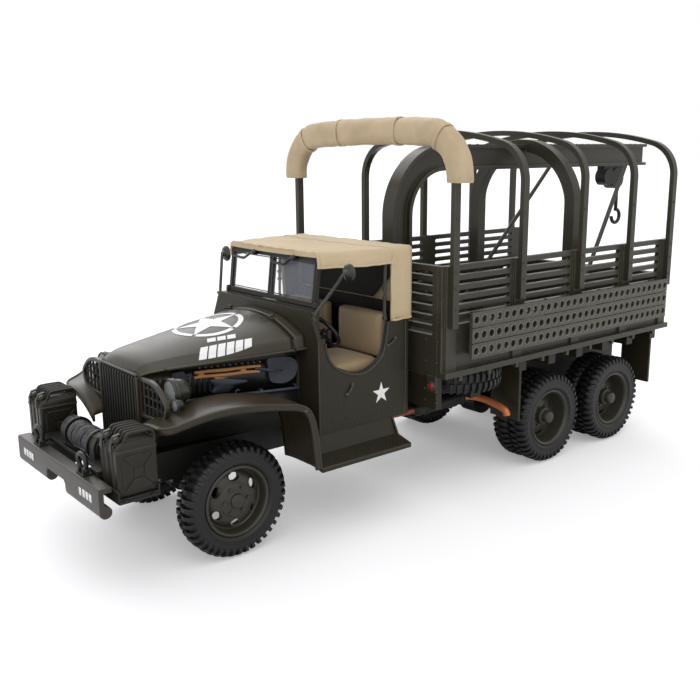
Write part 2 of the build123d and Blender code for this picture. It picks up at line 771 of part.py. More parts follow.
def can_panel(face_y, out):
    """Four raised triangles with an X-shaped groove between them."""
    corners = [(can_rear_x + can_panel_inset, can_bottom + can_panel_inset),
               (can_front_x - can_panel_inset, can_bottom + can_panel_inset),
               (can_front_x - can_panel_inset, can_top - can_shoulder - can_panel_inset),
               (can_rear_x + can_panel_inset, can_top - can_shoulder - can_panel_inset)]
    centre = (sum(px for px, pz in corners) / 4, sum(pz for px, pz in corners) / 4)
    panel = []
    for index in range(4):
        triangle = [corners[index], corners[(index + 1) % 4], centre]
        middle = (sum(px for px, pz in triangle) / 3, sum(pz for px, pz in triangle) / 3)
        shrink = 1 - can_groove / (can_length - 2 * can_panel_inset) * 2
        small = [(middle[0] + (px - middle[0]) * shrink, middle[1] + (pz - middle[1]) * shrink)
                 for px, pz in triangle]
        panel.append(side_plate(small, (face_y - out * 0.05, face_y + out * can_panel_height)))
    return panel


def fuel_can(low_y):
    high_y = low_y + can_thickness
    shoulder_z = can_top - can_shoulder
    outline = [(can_rear_x, can_bottom), (can_front_x, can_bottom), (can_front_x, shoulder_z),
               (can_front_x - can_shoulder_front, can_top + can_shoulder_rise),
               (can_rear_x + can_shoulder_rear, can_top + can_shoulder_rise), (can_rear_x, shoulder_z)]
    can = side_plate(outline, (low_y, high_y))
    handle_x = (can_rear_x + can_handle_rear, can_front_x - can_handle_front)
    for bar in range(3):
        bar_low = low_y + bar * (can_thickness - can_handle_bar) / 2
        bar_y = (bar_low, bar_low + can_handle_bar)
        can += block(handle_x, bar_y, (can_handle_top - can_handle_bar, can_handle_top))
        for post_x in (handle_x[0], handle_x[1] - can_handle_bar):
            can += block((post_x, post_x + can_handle_bar), bar_y, (can_top, can_handle_top))
    for face_y, out in ((low_y, -1), (high_y, 1)):
        can += can_panel(face_y, out)
    cap_ends = [(can_front_x - back, (low_y + high_y) / 2, can_top + up) for back, up in can_cap]
    return can + rod(cap_ends[0], cap_ends[1], can_cap_radius)


cans = [fuel_can(can_inner_y + index * (can_thickness + can_gap)) for index in range(can_count)]
nodes["fuel_cans"] = Compound(cans + [mirrored(can) for can in cans])

# ---- grille, brush guards ----
grille = block((grille_x, grille_x + grille_depth), (-grille_half_width, grille_half_width),
               (grille_top - grille_frame, grille_top))
grille += block((grille_x, grille_x + grille_depth), (-grille_half_width, grille_half_width),
                (grille_bottom, grille_bottom + grille_frame))
bar_span = 2 * grille_half_width - grille_bar
for index in range(grille_bar_count):
    bar_y = -bar_span / 2 + index * bar_span / (grille_bar_count - 1)
    grille += block((grille_x, grille_x + grille_depth), (bar_y - grille_bar / 2, bar_y + grille_bar / 2),
                    (grille_bottom, grille_top))
for cross_z in grille_cross_z:
    grille += block((grille_x, grille_x + grille_depth / 2), (-grille_half_width, grille_half_width),
                    (cross_z, cross_z + grille_cross))

guard_x = (grille_x + guard_back, grille_x + guard_back + guard_bar)
guard_edge = Wire.make_polygon([Vector(guard_x[0], y, z) for y, z in guard_corners])
guard_hole_face = Face(guard_edge.offset_2d(-guard_bar, Kind.INTERSECTION))
guard_inside = Solid.extrude(guard_hole_face, Vector(guard_bar, 0, 0))
guard = cross_plate(guard_corners, guard_x) - guard_inside
for rod_y in guard_rod_y:
    guard += block(guard_x, (rod_y - guard_rod / 2, rod_y + guard_rod / 2), (0, far)) & guard_inside
for rod_z in guard_rod_z:
    guard += block((guard_x[0], guard_x[0] + guard_bar / 2), (0, far),
                   (rod_z - guard_rod / 2, rod_z + guard_rod / 2)) & guard_inside
nodes["grille"] = grille + guard + mirrored(guard)


# ---- lamps ----
def lamp(y, z, radius, depth, front_x):
    """Shell with a round back, on a post from the fender."""
    shell_rear = front_x - depth * lamp_shell_share
    shell = rod((shell_rear, y, z), (front_x - lens_thickness, y, z), radius)
    nose = Pos(shell_rear, y, z) * Sphere(radius)
    shell += nose & block((-far, shell_rear), (0, far), (0, far))
    post_x = front_x - lamp_post_back
    return shell + rod((post_x, y, lamp_foot_z), (post_x, y, z), lamp_post_radius)


def lens(y, z, radius, front_x):
    return rod((front_x - lens_thickness, y, z), (front_x, y, z), radius - lens_inset)


marker_front_x = lamp_front_x - marker_set_back
head = lamp(lamp_y, lamp_z, lamp_radius, lamp_depth, lamp_front_x)
marker = lamp(marker_y, marker_z, marker_radius, marker_depth, marker_front_x)
lenses = [lens(lamp_y, lamp_z, lamp_radius, lamp_front_x),
          lens(marker_y, marker_z, marker_radius, marker_front_x)]

# ---- hood ----
def bay_half(x):
    return bay_front_half + (grille_x - x) / (grille_x - cab_front_x) * (bay_rear_half - bay_front_half)


def hood_section(x, crown, half, lip_z):
    crease = (half * hood_crease, crown - hood_crease_drop * (crown - lip_z))
    left = [(bay_half(x) - hood_foot_inset, hood_skirt_z), (half, lip_z), crease]
    low, lip, fold = [Vector(x, py, pz) for py, pz in left]
    low_right, lip_right, fold_right = [Vector(x, -py, pz) for py, pz in left]
    return Wire([Edge.make_line(low, lip), Edge.make_line(lip, fold),
                 Edge.make_three_point_arc(fold, Vector(x, 0, crown), fold_right),
                 Edge.make_line(fold_right, lip_right), Edge.make_line(lip_right, low_right),
                 Edge.make_line(low_right, low)])


nodes["hood"] = Solid.make_loft([hood_section(*row) for row in hood_stations], True)

# ---- engine bay: radiator shell and the sides that carry the tools ----
bay_outline = [(grille_x, bay_front_half), (cab_front_x, bay_rear_half), (cab_front_x, -bay_rear_half),
               (grille_x, -bay_front_half)]
bay = level_plate(bay_outline, (bay_bottom, hood_skirt_z))
tools = [side_plate(blade_outline, (tool_root_y, blade_y)), side_plate(pick_outline, (tool_root_y, pick_y)),
         rod(tool_rail[0], tool_rail[1], tool_rod_radius)]
tools += [rod(start, end, tool_rod_radius) for start, end in tool_handles]
rail_slope = (tool_rail[1][2] - tool_rail[0][2]) / (tool_rail[1][0] - tool_rail[0][0])
rail_spread = (tool_rail[1][1] - tool_rail[0][1]) / (tool_rail[1][0] - tool_rail[0][0])
for clip_x in tool_clip_x:
    clip_y = tool_handles[0][0][1] + (clip_x - tool_handles[0][0][0]) * rail_spread
    clip_width = (clip_x - tool_clip_width / 2, clip_x + tool_clip_width / 2)
    tools.append(block(clip_width, (tool_root_y, clip_y), tool_clip_z))
for foot_x in rail_foot_x:
    foot_y = tool_rail[0][1] + (foot_x - tool_rail[0][0]) * rail_spread
    foot_z = tool_rail[0][2] + (foot_x - tool_rail[0][0]) * rail_slope
    tools.append(block((foot_x - tool_clip_width / 2, foot_x + tool_clip_width / 2), (tool_root_y, foot_y),
                       (foot_z - tool_rod_radius, foot_z + tool_rod_radius)))
for tool in tools:
    bay += tool
    bay += mirrored(tool)
nodes["engine_bay"] = bay - nodes["hood"]

# ---- front fenders ----

def fender_wire(y, depth, fall=0.0):
    """Closed outline of the sheet at y: its profile, and the same profile set in by depth."""
    outside = [(px, pz - fall if pz > fender_level_z else pz) for px, pz in fender_profile]
    inside = []
    for index, (px, pz) in enumerate(outside):
        before, after = outside[max(index - 1, 0)], outside[min(index + 1, len(outside) - 1)]
        share = depth / math.dist(before, after)
        inside.append((px + share * (before[1] - after[1]), pz + share * (after[0] - before[0])))
    return Wire.make_polygon([Vector(px, y, pz) for px, pz in outside + inside[::-1]])


def fender_plan(inset):
    """Plan of the fender with a round outer corner, as a tall prism."""
    front = fender_profile[0][0] - inset
    outer = fender_out - inset
    corner = fender_corner - inset
    turn = [Vector(front, outer - corner, 0),
            Vector(front - corner * (1 - math.sqrt(0.5)), outer - corner * (1 - math.sqrt(0.5)), 0),
            Vector(front - corner, outer, 0)]
    rear, inner = fender_profile[-1][0] - 5, fender_foot_y - 1
    face = Face(Wire([Edge.make_line(Vector(front, inner, 0), turn[0]), Edge.make_three_point_arc(*turn),
                      Edge.make_line(turn[2], Vector(rear, outer, 0)),
                      Edge.make_line(Vector(rear, outer, 0), Vector(rear, inner, 0)),
                      Edge.make_line(Vector(rear, inner, 0), Vector(front, inner, 0))]))
    return Solid.extrude(face, Vector(0, 0, far))


fender_deep = fender_sheet + fender_flange
fender_width = Vector(0, fender_out - fender_crown_y, 0)
fender = Solid.extrude(Face(fender_wire(fender_crown_y, fender_deep)), fender_width)
fender &= fender_plan(0)
fender_core = Solid.extrude(Face(fender_wire(fender_crown_y, fender_deep + 1)),
                            Vector(0, fender_out - fender_crown_y, 0))
fender_core -= Solid.extrude(Face(fender_wire(fender_crown_y - 1, fender_sheet)),
                             Vector(0, fender_out - fender_crown_y + 2, 0))
fender -= fender_core & fender_plan(fender_edge)
apron = Solid.make_loft([fender_wire(fender_crown_y, fender_sheet),
                         fender_wire(fender_foot_y, fender_sheet, fender_fall)], True)
apron -= block((-far, far), (0, fender_in), (0, fender_level_z - 1.5))
above_board = block((-far, far), (0, far), (board_z, far))
nodes["front_fenders"] = both_sides(((fender + apron) & above_board) - nodes["engine_bay"])

# ---- running boards ----
board_front_x = fender_profile[-1][0]
board = cross_plate([(fender_out, board_z), (fender_out, board_z - board_thickness),
                     (board_inner_y - board_sill, board_z + board_rise - board_thickness),
                     (cab_half_width - board_sill, cab_bottom), (cab_half_width, cab_bottom),
                     (board_inner_y, board_z + board_rise)], (board_rear_x, board_front_x))
nodes["running_boards"] = both_sides(board)

# ---- cab body ----
def door_wire(y):
    p = [Vector(px, y, pz) for px, pz in door_line]
    above = [Vector(door_rear_x, y, far), Vector(door_front_x, y, far)]
    return Wire([Edge.make_three_point_arc(p[0], p[1], p[2]), Edge.make_three_point_arc(p[2], p[3], p[4]),
                 Edge.make_line(p[4], above[0]), Edge.make_line(above[0], above[1]),
                 Edge.make_line(above[1], p[0])])


cab_side = side_plate([(cab_front_x, cab_bottom), (cab_rear_x, cab_bottom), (cab_rear_x, cab_rear_top),
                       (door_rear_x, cab_rear_top), (door_rear_x, cab_shoulder_z),
                       (cab_front_x, cab_shoulder_z)], (cab_half_width - cab_wall, cab_half_width))
cab_side -= Solid.extrude(Face(door_wire(0)), Vector(0, far, 0))
cab = cab_side + mirrored(cab_side)
cab += cross_plate([(-cab_half_width, bay_bottom), (cab_half_width, bay_bottom),
                    (cab_half_width, cab_shoulder_z), (cowl_half_width, cowl_top_z),
                    (-cowl_half_width, cowl_top_z), (-cab_half_width, cab_shoulder_z)],
                   (cab_front_x - cab_wall, cab_front_x))
cab += block((cab_rear_x, cab_rear_x + cab_wall), (-cab_half_width, cab_half_width), (rail_top, cab_rear_top))
cab += block((cab_rear_x, cab_front_x), (sink - cab_half_width, cab_half_width - sink),
             (cab_floor_z - cab_floor_thickness, cab_floor_z))
cab += block((cab_front_x - cowl_depth, cab_front_x - cab_wall), (-cowl_half_width, cowl_half_width),
             (cowl_top_z - cowl_height, cowl_top_z))
nodes["cab_body"] = cab


# ---- windshield ----
def screen_x(z):
    share = (z - cowl_top_z) / (screen_top_z - cowl_top_z)
    return screen_bottom_x + share * (screen_top_x - screen_bottom_x)


def screen_panel(y, z, depth, offset):
    """Leaning panel: y pair, z pair, depth from front to back, front face set back by offset."""
    outline = [(screen_x(z[0]) - offset, z[0]), (screen_x(z[1]) - offset, z[1]),
               (screen_x(z[1]) - offset - depth, z[1]), (screen_x(z[0]) - offset - depth, z[0])]
    return side_plate(outline, y)


screen_low = cowl_top_z
screen_frame = screen_panel((-screen_half_width, screen_half_width), (screen_low, screen_top_z), screen_depth, 0)
glass = []
for side in (1, -1):
    pane_y = sorted((side * screen_bar / 2, side * (screen_half_width - screen_bar)))
    pane_z = (screen_low + screen_bar, screen_top_z - screen_bar)
    screen_frame -= screen_panel(pane_y, pane_z, screen_depth + 2, -1)
    glass.append(screen_panel(pane_y, pane_z, glass_thickness, (screen_depth - glass_thickness) / 2))
nodes["windshield_glass"] = Compound(glass)

for side in (1, -1):
    ends = [(screen_x(z) + wiper_ahead, side * y, z) for y, z in (wiper_hub, wiper_tip)]
    screen_frame += rod(ends[0], ends[1], wiper_bar)
nodes["windshield_frame"] = screen_frame

# ---- mirrors ----
mirror_middle = (mirror_x, mirror_y, mirror_z)
mirror_disc = rod(mirror_middle, (mirror_x - mirror_thickness, mirror_y, mirror_z), mirror_radius)
mirror_disc += rod(mirror_foot, mirror_middle, mirror_arm)
mirror_disc -= nodes["cab_body"]
nodes["mirrors"] = both_sides(mirror_disc)

# ---- canvas top ----
def cover_end(x, half_width, foot_z, corner):
    """Flat end under a cover's crown, between x[0] and x[1]."""
    shoulder_z = top_z - corner - top_crown
    end = block(x, (-half_width, half_width), (foot_z, shoulder_z))
    return end + block(x, (corner - half_width, half_width - corner), (shoulder_z - 1, top_z - top_crown))


canvas_rear_x = cab_rear_x - top_end
canvas = arch((canvas_rear_x, top_front_x + top_end), top_z - top_valance, top_half_width,
              top_z - top_corner - top_crown, top_corner, top_z, top_sheet)
canvas += cover_end((top_front_x, top_front_x + top_end), top_half_width, top_z - top_valance, top_corner)
canvas += arch((canvas_rear_x, top_strip_x), cab_rear_top, cab_half_width, top_z - flap_corner - top_crown,
               flap_corner, top_z + flap_rise, cab_half_width - top_half_width + top_sheet)
canvas += cover_end((canvas_rear_x, cab_rear_x), cab_half_width, cab_rear_top, flap_corner)
nodes["canvas_top"] = canvas

# ---- seats ----
seat = block((seat_rear_x, seat_front_x), (seat_inner_y, seat_outer_y),
             (seat_cushion_top - seat_cushion_thickness, seat_cushion_top))
seat_back = block((seat_rear_x, seat_rear_x + seat_back_thickness), (seat_inner_y, seat_outer_y),
                  (seat_cushion_top - seat_cushion_thickness, seat_back_top))
seat = fillet(seat.edges(), seat_round)
seat_back = fillet(seat_back.edges(), seat_round)
nodes["seats"] = both_sides(seat + seat_back)
seat_box = block((seat_rear_x + seat_box_inset, seat_front_x - seat_box_toe),
                 (seat_inner_y + seat_box_inset, seat_outer_y - seat_box_inset),
                 (cab_floor_z, seat_cushion_top - seat_cushion_thickness))
nodes["cab_body"] += seat_box + mirrored(seat_box)

# ---- steering wheel ----
column_foot = Vector(cab_front_x - cab_wall, wheel_y, column_foot_z)
wheel_centre = Vector(wheel_hub_x, wheel_y, wheel_hub_z)
wheel_axis = (column_foot - wheel_centre).normalized()
wheel_plane = Plane(origin=wheel_centre, z_dir=wheel_axis, x_dir=(0, 1, 0))
steering = wheel_plane * Torus(wheel_ring_radius, wheel_ring_bar)
steering += wheel_plane * Cylinder(wheel_hub_radius, wheel_hub_radius)
for index in range(wheel_spoke_count):
    angle = math.pi / 2 + 2 * math.pi * index / wheel_spoke_count
    tip = wheel_plane.from_local_coords(Vector(wheel_ring_radius * math.cos(angle),
                                               wheel_ring_radius * math.sin(angle), 0))
    steering += rod(wheel_centre, tip, wheel_spoke_radius)
steering += rod(wheel_centre, column_foot + wheel_axis, column_radius)
steering &= block((-far, cab_front_x - cab_wall), (0, far), (0, far))
nodes["steering_wheel"] = steering

# ---- cargo bed ----
floor_half = bed_half_width - bed_wall
nodes["bed_floor"] = block((bed_rear_x + bed_wall, bed_front_x - bed_wall), (-floor_half, floor_half),
                           (bed_bottom, bed_floor_top))

bays = [(bow_table[i][0], bow_table[i + 1][0]) for i in range(len(bow_table) - 1)]


def bed_side(side):
    face_y = side * floor_half
    outline = Wire.make_polygon([Vector(bed_front_x, face_y, bed_bottom), Vector(bed_rear_x, face_y, bed_bottom),
                                 Vector(bed_rear_x, face_y, bed_top), Vector(bed_front_x, face_y, bed_top)])
    slots = []
    for front, rear in bays:
        middle = (front + rear) / 2
        half = (front - rear) / 2 - slot_margin
        for row in range(side_slot_rows):
            slot_z = bed_top - slot_pitch * (row + slot_first)
            slots.append(slot_wire((middle, slot_z), half, slot_height / 2,
                                   lambda along, z: Vector(along, face_y, z)))
    wall = Solid.extrude(Face(outline, slots), Vector(0, side * bed_wall, 0))
    wall += block((bed_rear_x, bed_front_x), (side * (bed_half_width - sink), side * bed_rail_out),
                  (bed_bottom, bed_bottom + bed_rail_height))
    for bow_x, foot in bow_table:
        wall += block((bow_x - post_width / 2, bow_x + post_width / 2),
                      (side * (bed_half_width - sink), side * (bed_half_width + post_depth)),
                      (bed_bottom + bed_rail_height - sink, bed_top)) & block(
                          (bed_rear_x, bed_front_x), (0, side * far), (0, far))
    hook_x = bed_front_x - rope_hook_pitch / 2
    while hook_x > bed_rear_x:
        wall += block((hook_x - rope_hook / 2, hook_x + rope_hook / 2),
                      (side * (bed_rail_out - rope_hook), side * bed_rail_out),
                      (bed_bottom - rope_hook_drop, bed_bottom + sink))
        hook_x -= rope_hook_pitch
    for bracket_x in plank_bracket_x:
        wall += block((bracket_x - plank_bracket_width / 2, bracket_x + plank_bracket_width / 2),
                      (side * (bed_half_width - sink), side * plank_y),
                      (plank_bottom + plank_bracket_inset, plank_top - plank_bracket_inset))
    return wall


nodes["bed_side_left"] = bed_side(1)
nodes["bed_side_right"] = bed_side(-1)

front_outline = Wire.make_polygon([Vector(bed_front_x, y, z) for y, z in (
    (-floor_half, bed_bottom), (floor_half, bed_bottom), (floor_half, bed_top), (-floor_half, bed_top))])
front_slots = []
column_pitch = 2 * floor_half / front_slot_columns
for column in range(front_slot_columns):
    column_y = -floor_half + column_pitch * (column + 0.5)
    for row in range(front_slot_rows):
        slot_middle = (column_y, bed_top - slot_pitch * (row + slot_first))
        front_slots.append(slot_wire(slot_middle, (column_pitch - front_slot_gap) / 2, slot_height / 2,
                                     lambda along, z: Vector(bed_front_x, along, z)))
nodes["bed_front"] = Solid.extrude(Face(front_outline, front_slots), Vector(-bed_wall, 0, 0))

gate = block((bed_rear_x, bed_rear_x + bed_wall), (-floor_half, floor_half), (bed_bottom, tailgate_top))
rib_x = (bed_rear_x - tailgate_rib_depth, bed_rear_x + sink)
for index in range(tailgate_rib_count):
    rib_low = -floor_half + index * (2 * floor_half - tailgate_rib_width) / (tailgate_rib_count - 1)
    gate += block(rib_x, (rib_low, rib_low + tailgate_rib_width), (bed_bottom, tailgate_top))
for rib_z in (bed_bottom, tailgate_top - tailgate_rib_width):
    gate += block(rib_x, (-floor_half, floor_half), (rib_z, rib_z + tailgate_rib_width))
nodes["tailgate"] = gate

# ---- bed underframe: bearers on the sills, mud flaps on the first and last of them ----
first_bearer_x = sill_front_x - bearer_width / 2
last_bearer_x = bed_rear_x + bearer_width
bearer_pitch = (last_bearer_x - first_bearer_x) / (bearer_count - 1)
bearers = []
for index in range(bearer_count):
    bearer_x = first_bearer_x + index * bearer_pitch
    bearer = block((bearer_x - bearer_width / 2, bearer_x + bearer_width / 2), (-floor_half, floor_half),
                   (sill_top, bed_bottom))
    if index in (0, bearer_count - 1):
        flap_front_x = bearer_x + flap_ahead
        flap = block((flap_front_x - flap_thickness, flap_front_x), (flap_inner_y, floor_half),
                     (flap_bottom, bed_bottom))
        bearer += flap + mirrored(flap)
    bearers.append(bearer)
front_bearer = block((bed_front_x - front_bearer_depth, bed_front_x), (-floor_half, floor_half),
                     (rail_top, bed_bottom))
nodes["bed_underframe"] = Compound(bearers + [front_bearer])

# ---- bows and the canvas roll ----
bow_half_width = bed_half_width + post_depth + bow_thickness
for index, (bow_x, foot_z) in enumerate(bow_table):
    nodes["bow_" + str(index + 1)] = arch((bow_x - bow_width / 2, bow_x + bow_width / 2), foot_z, bow_half_width,
                                          bow_shoulder_z, bow_corner, bow_top, bow_thickness)
first_bow_x = bow_table[0][0]
roll_top = bow_top + roll_over_top
roll = arch((first_bow_x - roll_width / 2, first_bow_x + roll_width / 2), bow_shoulder_z + roll_foot_rise,
            bow_half_width + roll_over_bow, roll_top - roll_corner - roll_crown, roll_corner, roll_top,
            roll_thickness)
roll_edges = [edge for edge in roll.edges()
              if abs(abs((edge @ 0.5).X - first_bow_x) - roll_width / 2) < 0.01
              and edge.length > roll_thickness + sink]
roll = fillet(roll_edges, roll_round) - nodes["bow_1"]
nodes["canvas_roll"] = roll

# ---- perforated planks ----
plank_length = plank_front_x - plank_rear_x
hole_pitch = plank_length / plank_hole_count
planks = []
for row in range(plank_count):
    low = plank_bottom + row * (plank_height + plank_gap)
    outline = Wire.make_polygon([Vector(px, plank_y, pz) for px, pz in (
        (plank_front_x, low), (plank_rear_x, low), (plank_rear_x, low + plank_height),
        (plank_front_x, low + plank_height))])
    holes = []
    for index in range(plank_hole_count):
        centre = Vector(plank_front_x - hole_pitch * (index + 0.5), plank_y, low + plank_height / 2)
        holes.append(Wire([Edge.make_circle(plank_hole_radius, Plane(origin=centre, z_dir=(0, 1, 0)))]))
    planks.append(Solid.extrude(Face(outline, holes), Vector(0, plank_thickness, 0)))
nodes["plank_panels"] = Compound(planks + [mirrored(plank) for plank in planks])


# ---- hoist beam: an I section that bends down into a leg behind the cab ----
def beam_strip(inset, thickness, y):
    """Strip that follows the beam, inset from its outer face."""
    centre = (beam_leg_x - beam_corner, beam_top - beam_corner)
    edges = []
    ends = []
    for depth in (inset, inset + thickness):
        radius = beam_corner - depth
        foot = Vector(centre[0] + radius, y[0], bed_floor_top)
        spring = Vector(centre[0] + radius, y[0], centre[1])
        middle = Vector(centre[0] + radius * math.cos(math.pi / 4), y[0],
                        centre[1] + radius * math.sin(math.pi / 4))
        crown = Vector(centre[0], y[0], centre[1] + radius)
        tail = Vector(beam_rear_x, y[0], centre[1] + radius)
        edges += [Edge.make_line(foot, spring), Edge.make_three_point_arc(spring, middle, crown),
                  Edge.make_line(crown, tail)]
        ends.append((foot, tail))
    edges += [Edge.make_line(ends[0][0], ends[1][0]), Edge.make_line(ends[0][1], ends[1][1])]
    return Solid.extrude(Face(Wire.combine(edges)[0]), Vector(0, y[1] - y[0], 0))


flange_y = (-beam_half_flange, beam_half_flange)
beam = beam_strip(0, beam_flange, flange_y)
beam += beam_strip(beam_depth - beam_flange, beam_flange, flange_y)
beam += beam_strip(beam_flange - sink, beam_depth - 2 * beam_flange + 2 * sink, (-beam_web / 2, beam_web / 2))
nodes["hoist_beam"] = beam

hoop = arch((hoop_x - hoop_depth / 2, hoop_x + hoop_depth / 2), bed_floor_top, hoop_half_width,
            hoop_top - hoop_corner - hoop_crown, hoop_corner, hoop_top, hoop_thickness)
hoop -= block((hoop_x - hoop_depth, hoop_x + hoop_depth), flange_y, (beam_top - beam_depth, beam_top))
nodes["hoist_hoop"] = hoop

brace = rod(brace_foot, brace_head, brace_radius)
brace &= block((-far, far), (0, far), (bed_floor_top, far))
nodes["hoist_braces"] = both_sides(brace)

# ---- hoist block and hook ----
beam_bottom = beam_top - beam_depth
trolley = block((block_x - block_half_length, block_x + block_half_length), (-block_web / 2, block_web / 2),
                (block_z, beam_bottom))
for sheave_x, sheave_z, radius in sheave_table:
    trolley += across(radius, -block_thickness / 2, block_thickness / 2, block_x + sheave_x, sheave_z)
trolley += rod((hook_x, 0, block_z), (hook_x, 0, hook_z + hook_radius), hook_shank_radius)
hook = Pos(hook_x, 0, hook_z) * Rot(90, 0, 0) * Torus(hook_radius, hook_wire)
trolley += hook - block((hook_x + hook_wire / 2, hook_x + 2 * hook_radius), (-hook_radius, hook_radius),
                        (hook_z, hook_z + 2 * hook_radius))
nodes["hoist_block"] = trolley

# ---- spare wheel under the bed ----
spare_turn = Pos(spare_x, spare_y, spare_bottom + spare_width / 2) * Rot(90, 0, 0) * Pos(0, 0, -wheel_radius)
nodes["spare_tyre"] = spare_turn * tyre(0, -spare_width / 2, spare_width / 2)
spare_rim_z = (spare_bottom + spare_rim_inset, spare_bottom + spare_width - spare_rim_inset)
spare_disc_top = spare_rim_z[0] + spare_disc_thickness
nodes["spare_rim"] = (rod((spare_x, spare_y, spare_rim_z[0]), (spare_x, spare_y, spare_rim_z[1]), rim_radius)
                      - rod((spare_x, spare_y, spare_disc_top), (spare_x, spare_y, far), rim_radius - rim_wall))
carrier = block((spare_x - carrier_half_width, spare_x + carrier_half_width),
                (rail_out - rail_thickness, spare_y + carrier_reach), (rail_top, rail_top + carrier_height))
carrier += rod((spare_x, spare_y, rail_top), (spare_x, spare_y, spare_rim_z[0]), carrier_hub_radius)
nodes["chassis_frame"] += carrier

# ---- exhaust ----
exhaust = rod(pipe_route[-1], tailpipe[0], muffler_radius)
for route in (pipe_route, tailpipe):
    for start, end in zip(route, route[1:]):
        exhaust += rod(start, end, pipe_radius) + Pos(*start) * Sphere(pipe_radius)
nodes["exhaust"] = exhaust

# ---- fuel tank on the right ----
tank = block((tank_x[1], tank_x[0]), (-tank_y[1], -tank_y[0]), tank_z)
tank = fillet(tank.edges().filter_by(Axis.X), tank_round)
for arm_x in tank_arm_x:
    tank += block((arm_x - tank_arm_half, arm_x + tank_arm_half), (-tank_y[0] - tank_round, -rail_out),
                  (rail_bottom + tank_arm_inset, rail_top - tank_arm_inset))
nodes["fuel_tank"] = tank

# ---- lenses and reflectors ----
lenses.append(rod((bed_front_x, reflector_y, reflector_z),
                  (bed_front_x + reflector_depth, reflector_y, reflector_z), reflector_radius))
nodes["lamp_lenses"] = both_sides(Compound(lenses))
nodes["headlamps"] = both_sides(Compound([head - nodes["front_fenders"], marker - nodes["front_fenders"]]))
nodes["grille"] -= nodes["front_fenders"]

# ---- write one STEP file per node ----
os.makedirs("parts", exist_ok=True)
for name, shape in nodes.items():
    shape = Pos(axle_to_middle, 0, 0) * shape
    export_step(shape, os.path.join("parts", name + ".step"))
print(len(nodes), "nodes")
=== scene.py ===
import bpy
import bmesh
import json
import math
from mathutils import Matrix, Vector


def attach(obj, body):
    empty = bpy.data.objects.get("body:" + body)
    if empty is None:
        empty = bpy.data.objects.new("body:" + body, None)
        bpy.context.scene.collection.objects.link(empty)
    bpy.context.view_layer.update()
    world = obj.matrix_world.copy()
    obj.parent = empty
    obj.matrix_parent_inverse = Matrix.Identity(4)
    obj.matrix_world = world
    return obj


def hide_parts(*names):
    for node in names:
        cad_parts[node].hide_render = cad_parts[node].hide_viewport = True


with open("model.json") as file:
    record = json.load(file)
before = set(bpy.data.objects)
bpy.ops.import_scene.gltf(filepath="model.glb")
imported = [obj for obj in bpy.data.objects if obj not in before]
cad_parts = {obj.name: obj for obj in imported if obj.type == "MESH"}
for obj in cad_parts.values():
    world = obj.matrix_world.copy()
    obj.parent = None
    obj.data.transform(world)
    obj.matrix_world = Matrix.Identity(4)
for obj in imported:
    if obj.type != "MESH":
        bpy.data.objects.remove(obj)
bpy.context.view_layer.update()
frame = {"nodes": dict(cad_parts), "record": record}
nodes = frame["nodes"]
slotOf = {part["node"]: part["material_slot"] for part in frame["record"]["subparts"]}

# shapes are drawn in millimetres: x from the front axle line, y to the left, z up
mm = 0.001
frontAxleX = [joint for joint in frame["record"]["behaviour"]["joints"]
              if joint["name"] == "front_wheelset_roll"][0]["pos_m"][0]


def at(x, y, z):
    # a drawn point in the frame's metres
    return Vector((frontAxleX + x * mm, y * mm, z * mm))


cameraView = {   # place in drawing millimetres, angles in degrees
    "x": 78.15, "y": 146.52, "z": 73.14,
    "azimuth": 50.64, "elevation": 12.91, "roll": 0.48,
    "lens": 44.54, "sensor": 36.0, "nearest": 0.005,
}


def aimCamera(view):
    azimuth, elevation, roll = (math.radians(view[key]) for key in ("azimuth", "elevation", "roll"))
    forward = Vector((-math.cos(azimuth) * math.cos(elevation), -math.sin(azimuth) * math.cos(elevation),
                      -math.sin(elevation)))
    right = forward.cross(Vector((0, 0, 1))).normalized()
    down = forward.cross(right)
    rolledRight = math.cos(roll) * right + math.sin(roll) * down
    rolledDown = math.cos(roll) * down - math.sin(roll) * right
    data = bpy.data.cameras.new("truckCamera")
    data.lens = view["lens"]
    data.sensor_width = view["sensor"]
    data.clip_start = view["nearest"]
    camera = bpy.data.objects.new("truckCamera", data)
    axes = Matrix((rolledRight, -rolledDown, -forward)).transposed().to_4x4()
    axes.translation = at(view["x"], view["y"], view["z"])
    camera.matrix_world = axes
    bpy.context.scene.collection.objects.link(camera)
    bpy.context.scene.camera = camera


aimCamera(cameraView)
print("camera placed")

studio = {   # a white room and a pale paper floor
    "skyStrength": 0.50, "skyColour": (1.0, 1.0, 1.0, 1.0), "seenStrength": 1.0,
    "floorTint": (0.93, 0.93, 0.95, 1.0), "floorSize": 8.0, "floorGlow": 0.27, "floorDrop": 0.00002,
    "floorRoughness": 0.9,
}
suns = (   # name, where it comes from, strength, angle of the soft disc in degrees
    ("overheadSoft", (0.10, 0.20, 1.0), 0.85, 70),
    ("leftSoft", (0.35, 0.90, 0.55), 0.50, 60),
    ("frontSoft", (1.0, 0.10, 0.45), 0.35, 60),
    ("rightBackSoft", (-0.20, -0.80, 0.62), 0.95, 55),
)


def addSun(name, comesFrom, strength, angle):
    data = bpy.data.lights.new(name, "SUN")
    data.energy = strength
    data.angle = math.radians(angle)
    lamp = bpy.data.objects.new(name, data)
    lamp.rotation_euler = (-Vector(comesFrom)).to_track_quat("-Z", "Y").to_euler()
    bpy.context.scene.collection.objects.link(lamp)


def setInputs(node, **values):
    for label, value in values.items():
        node.inputs[label.replace("_", " ")].default_value = value


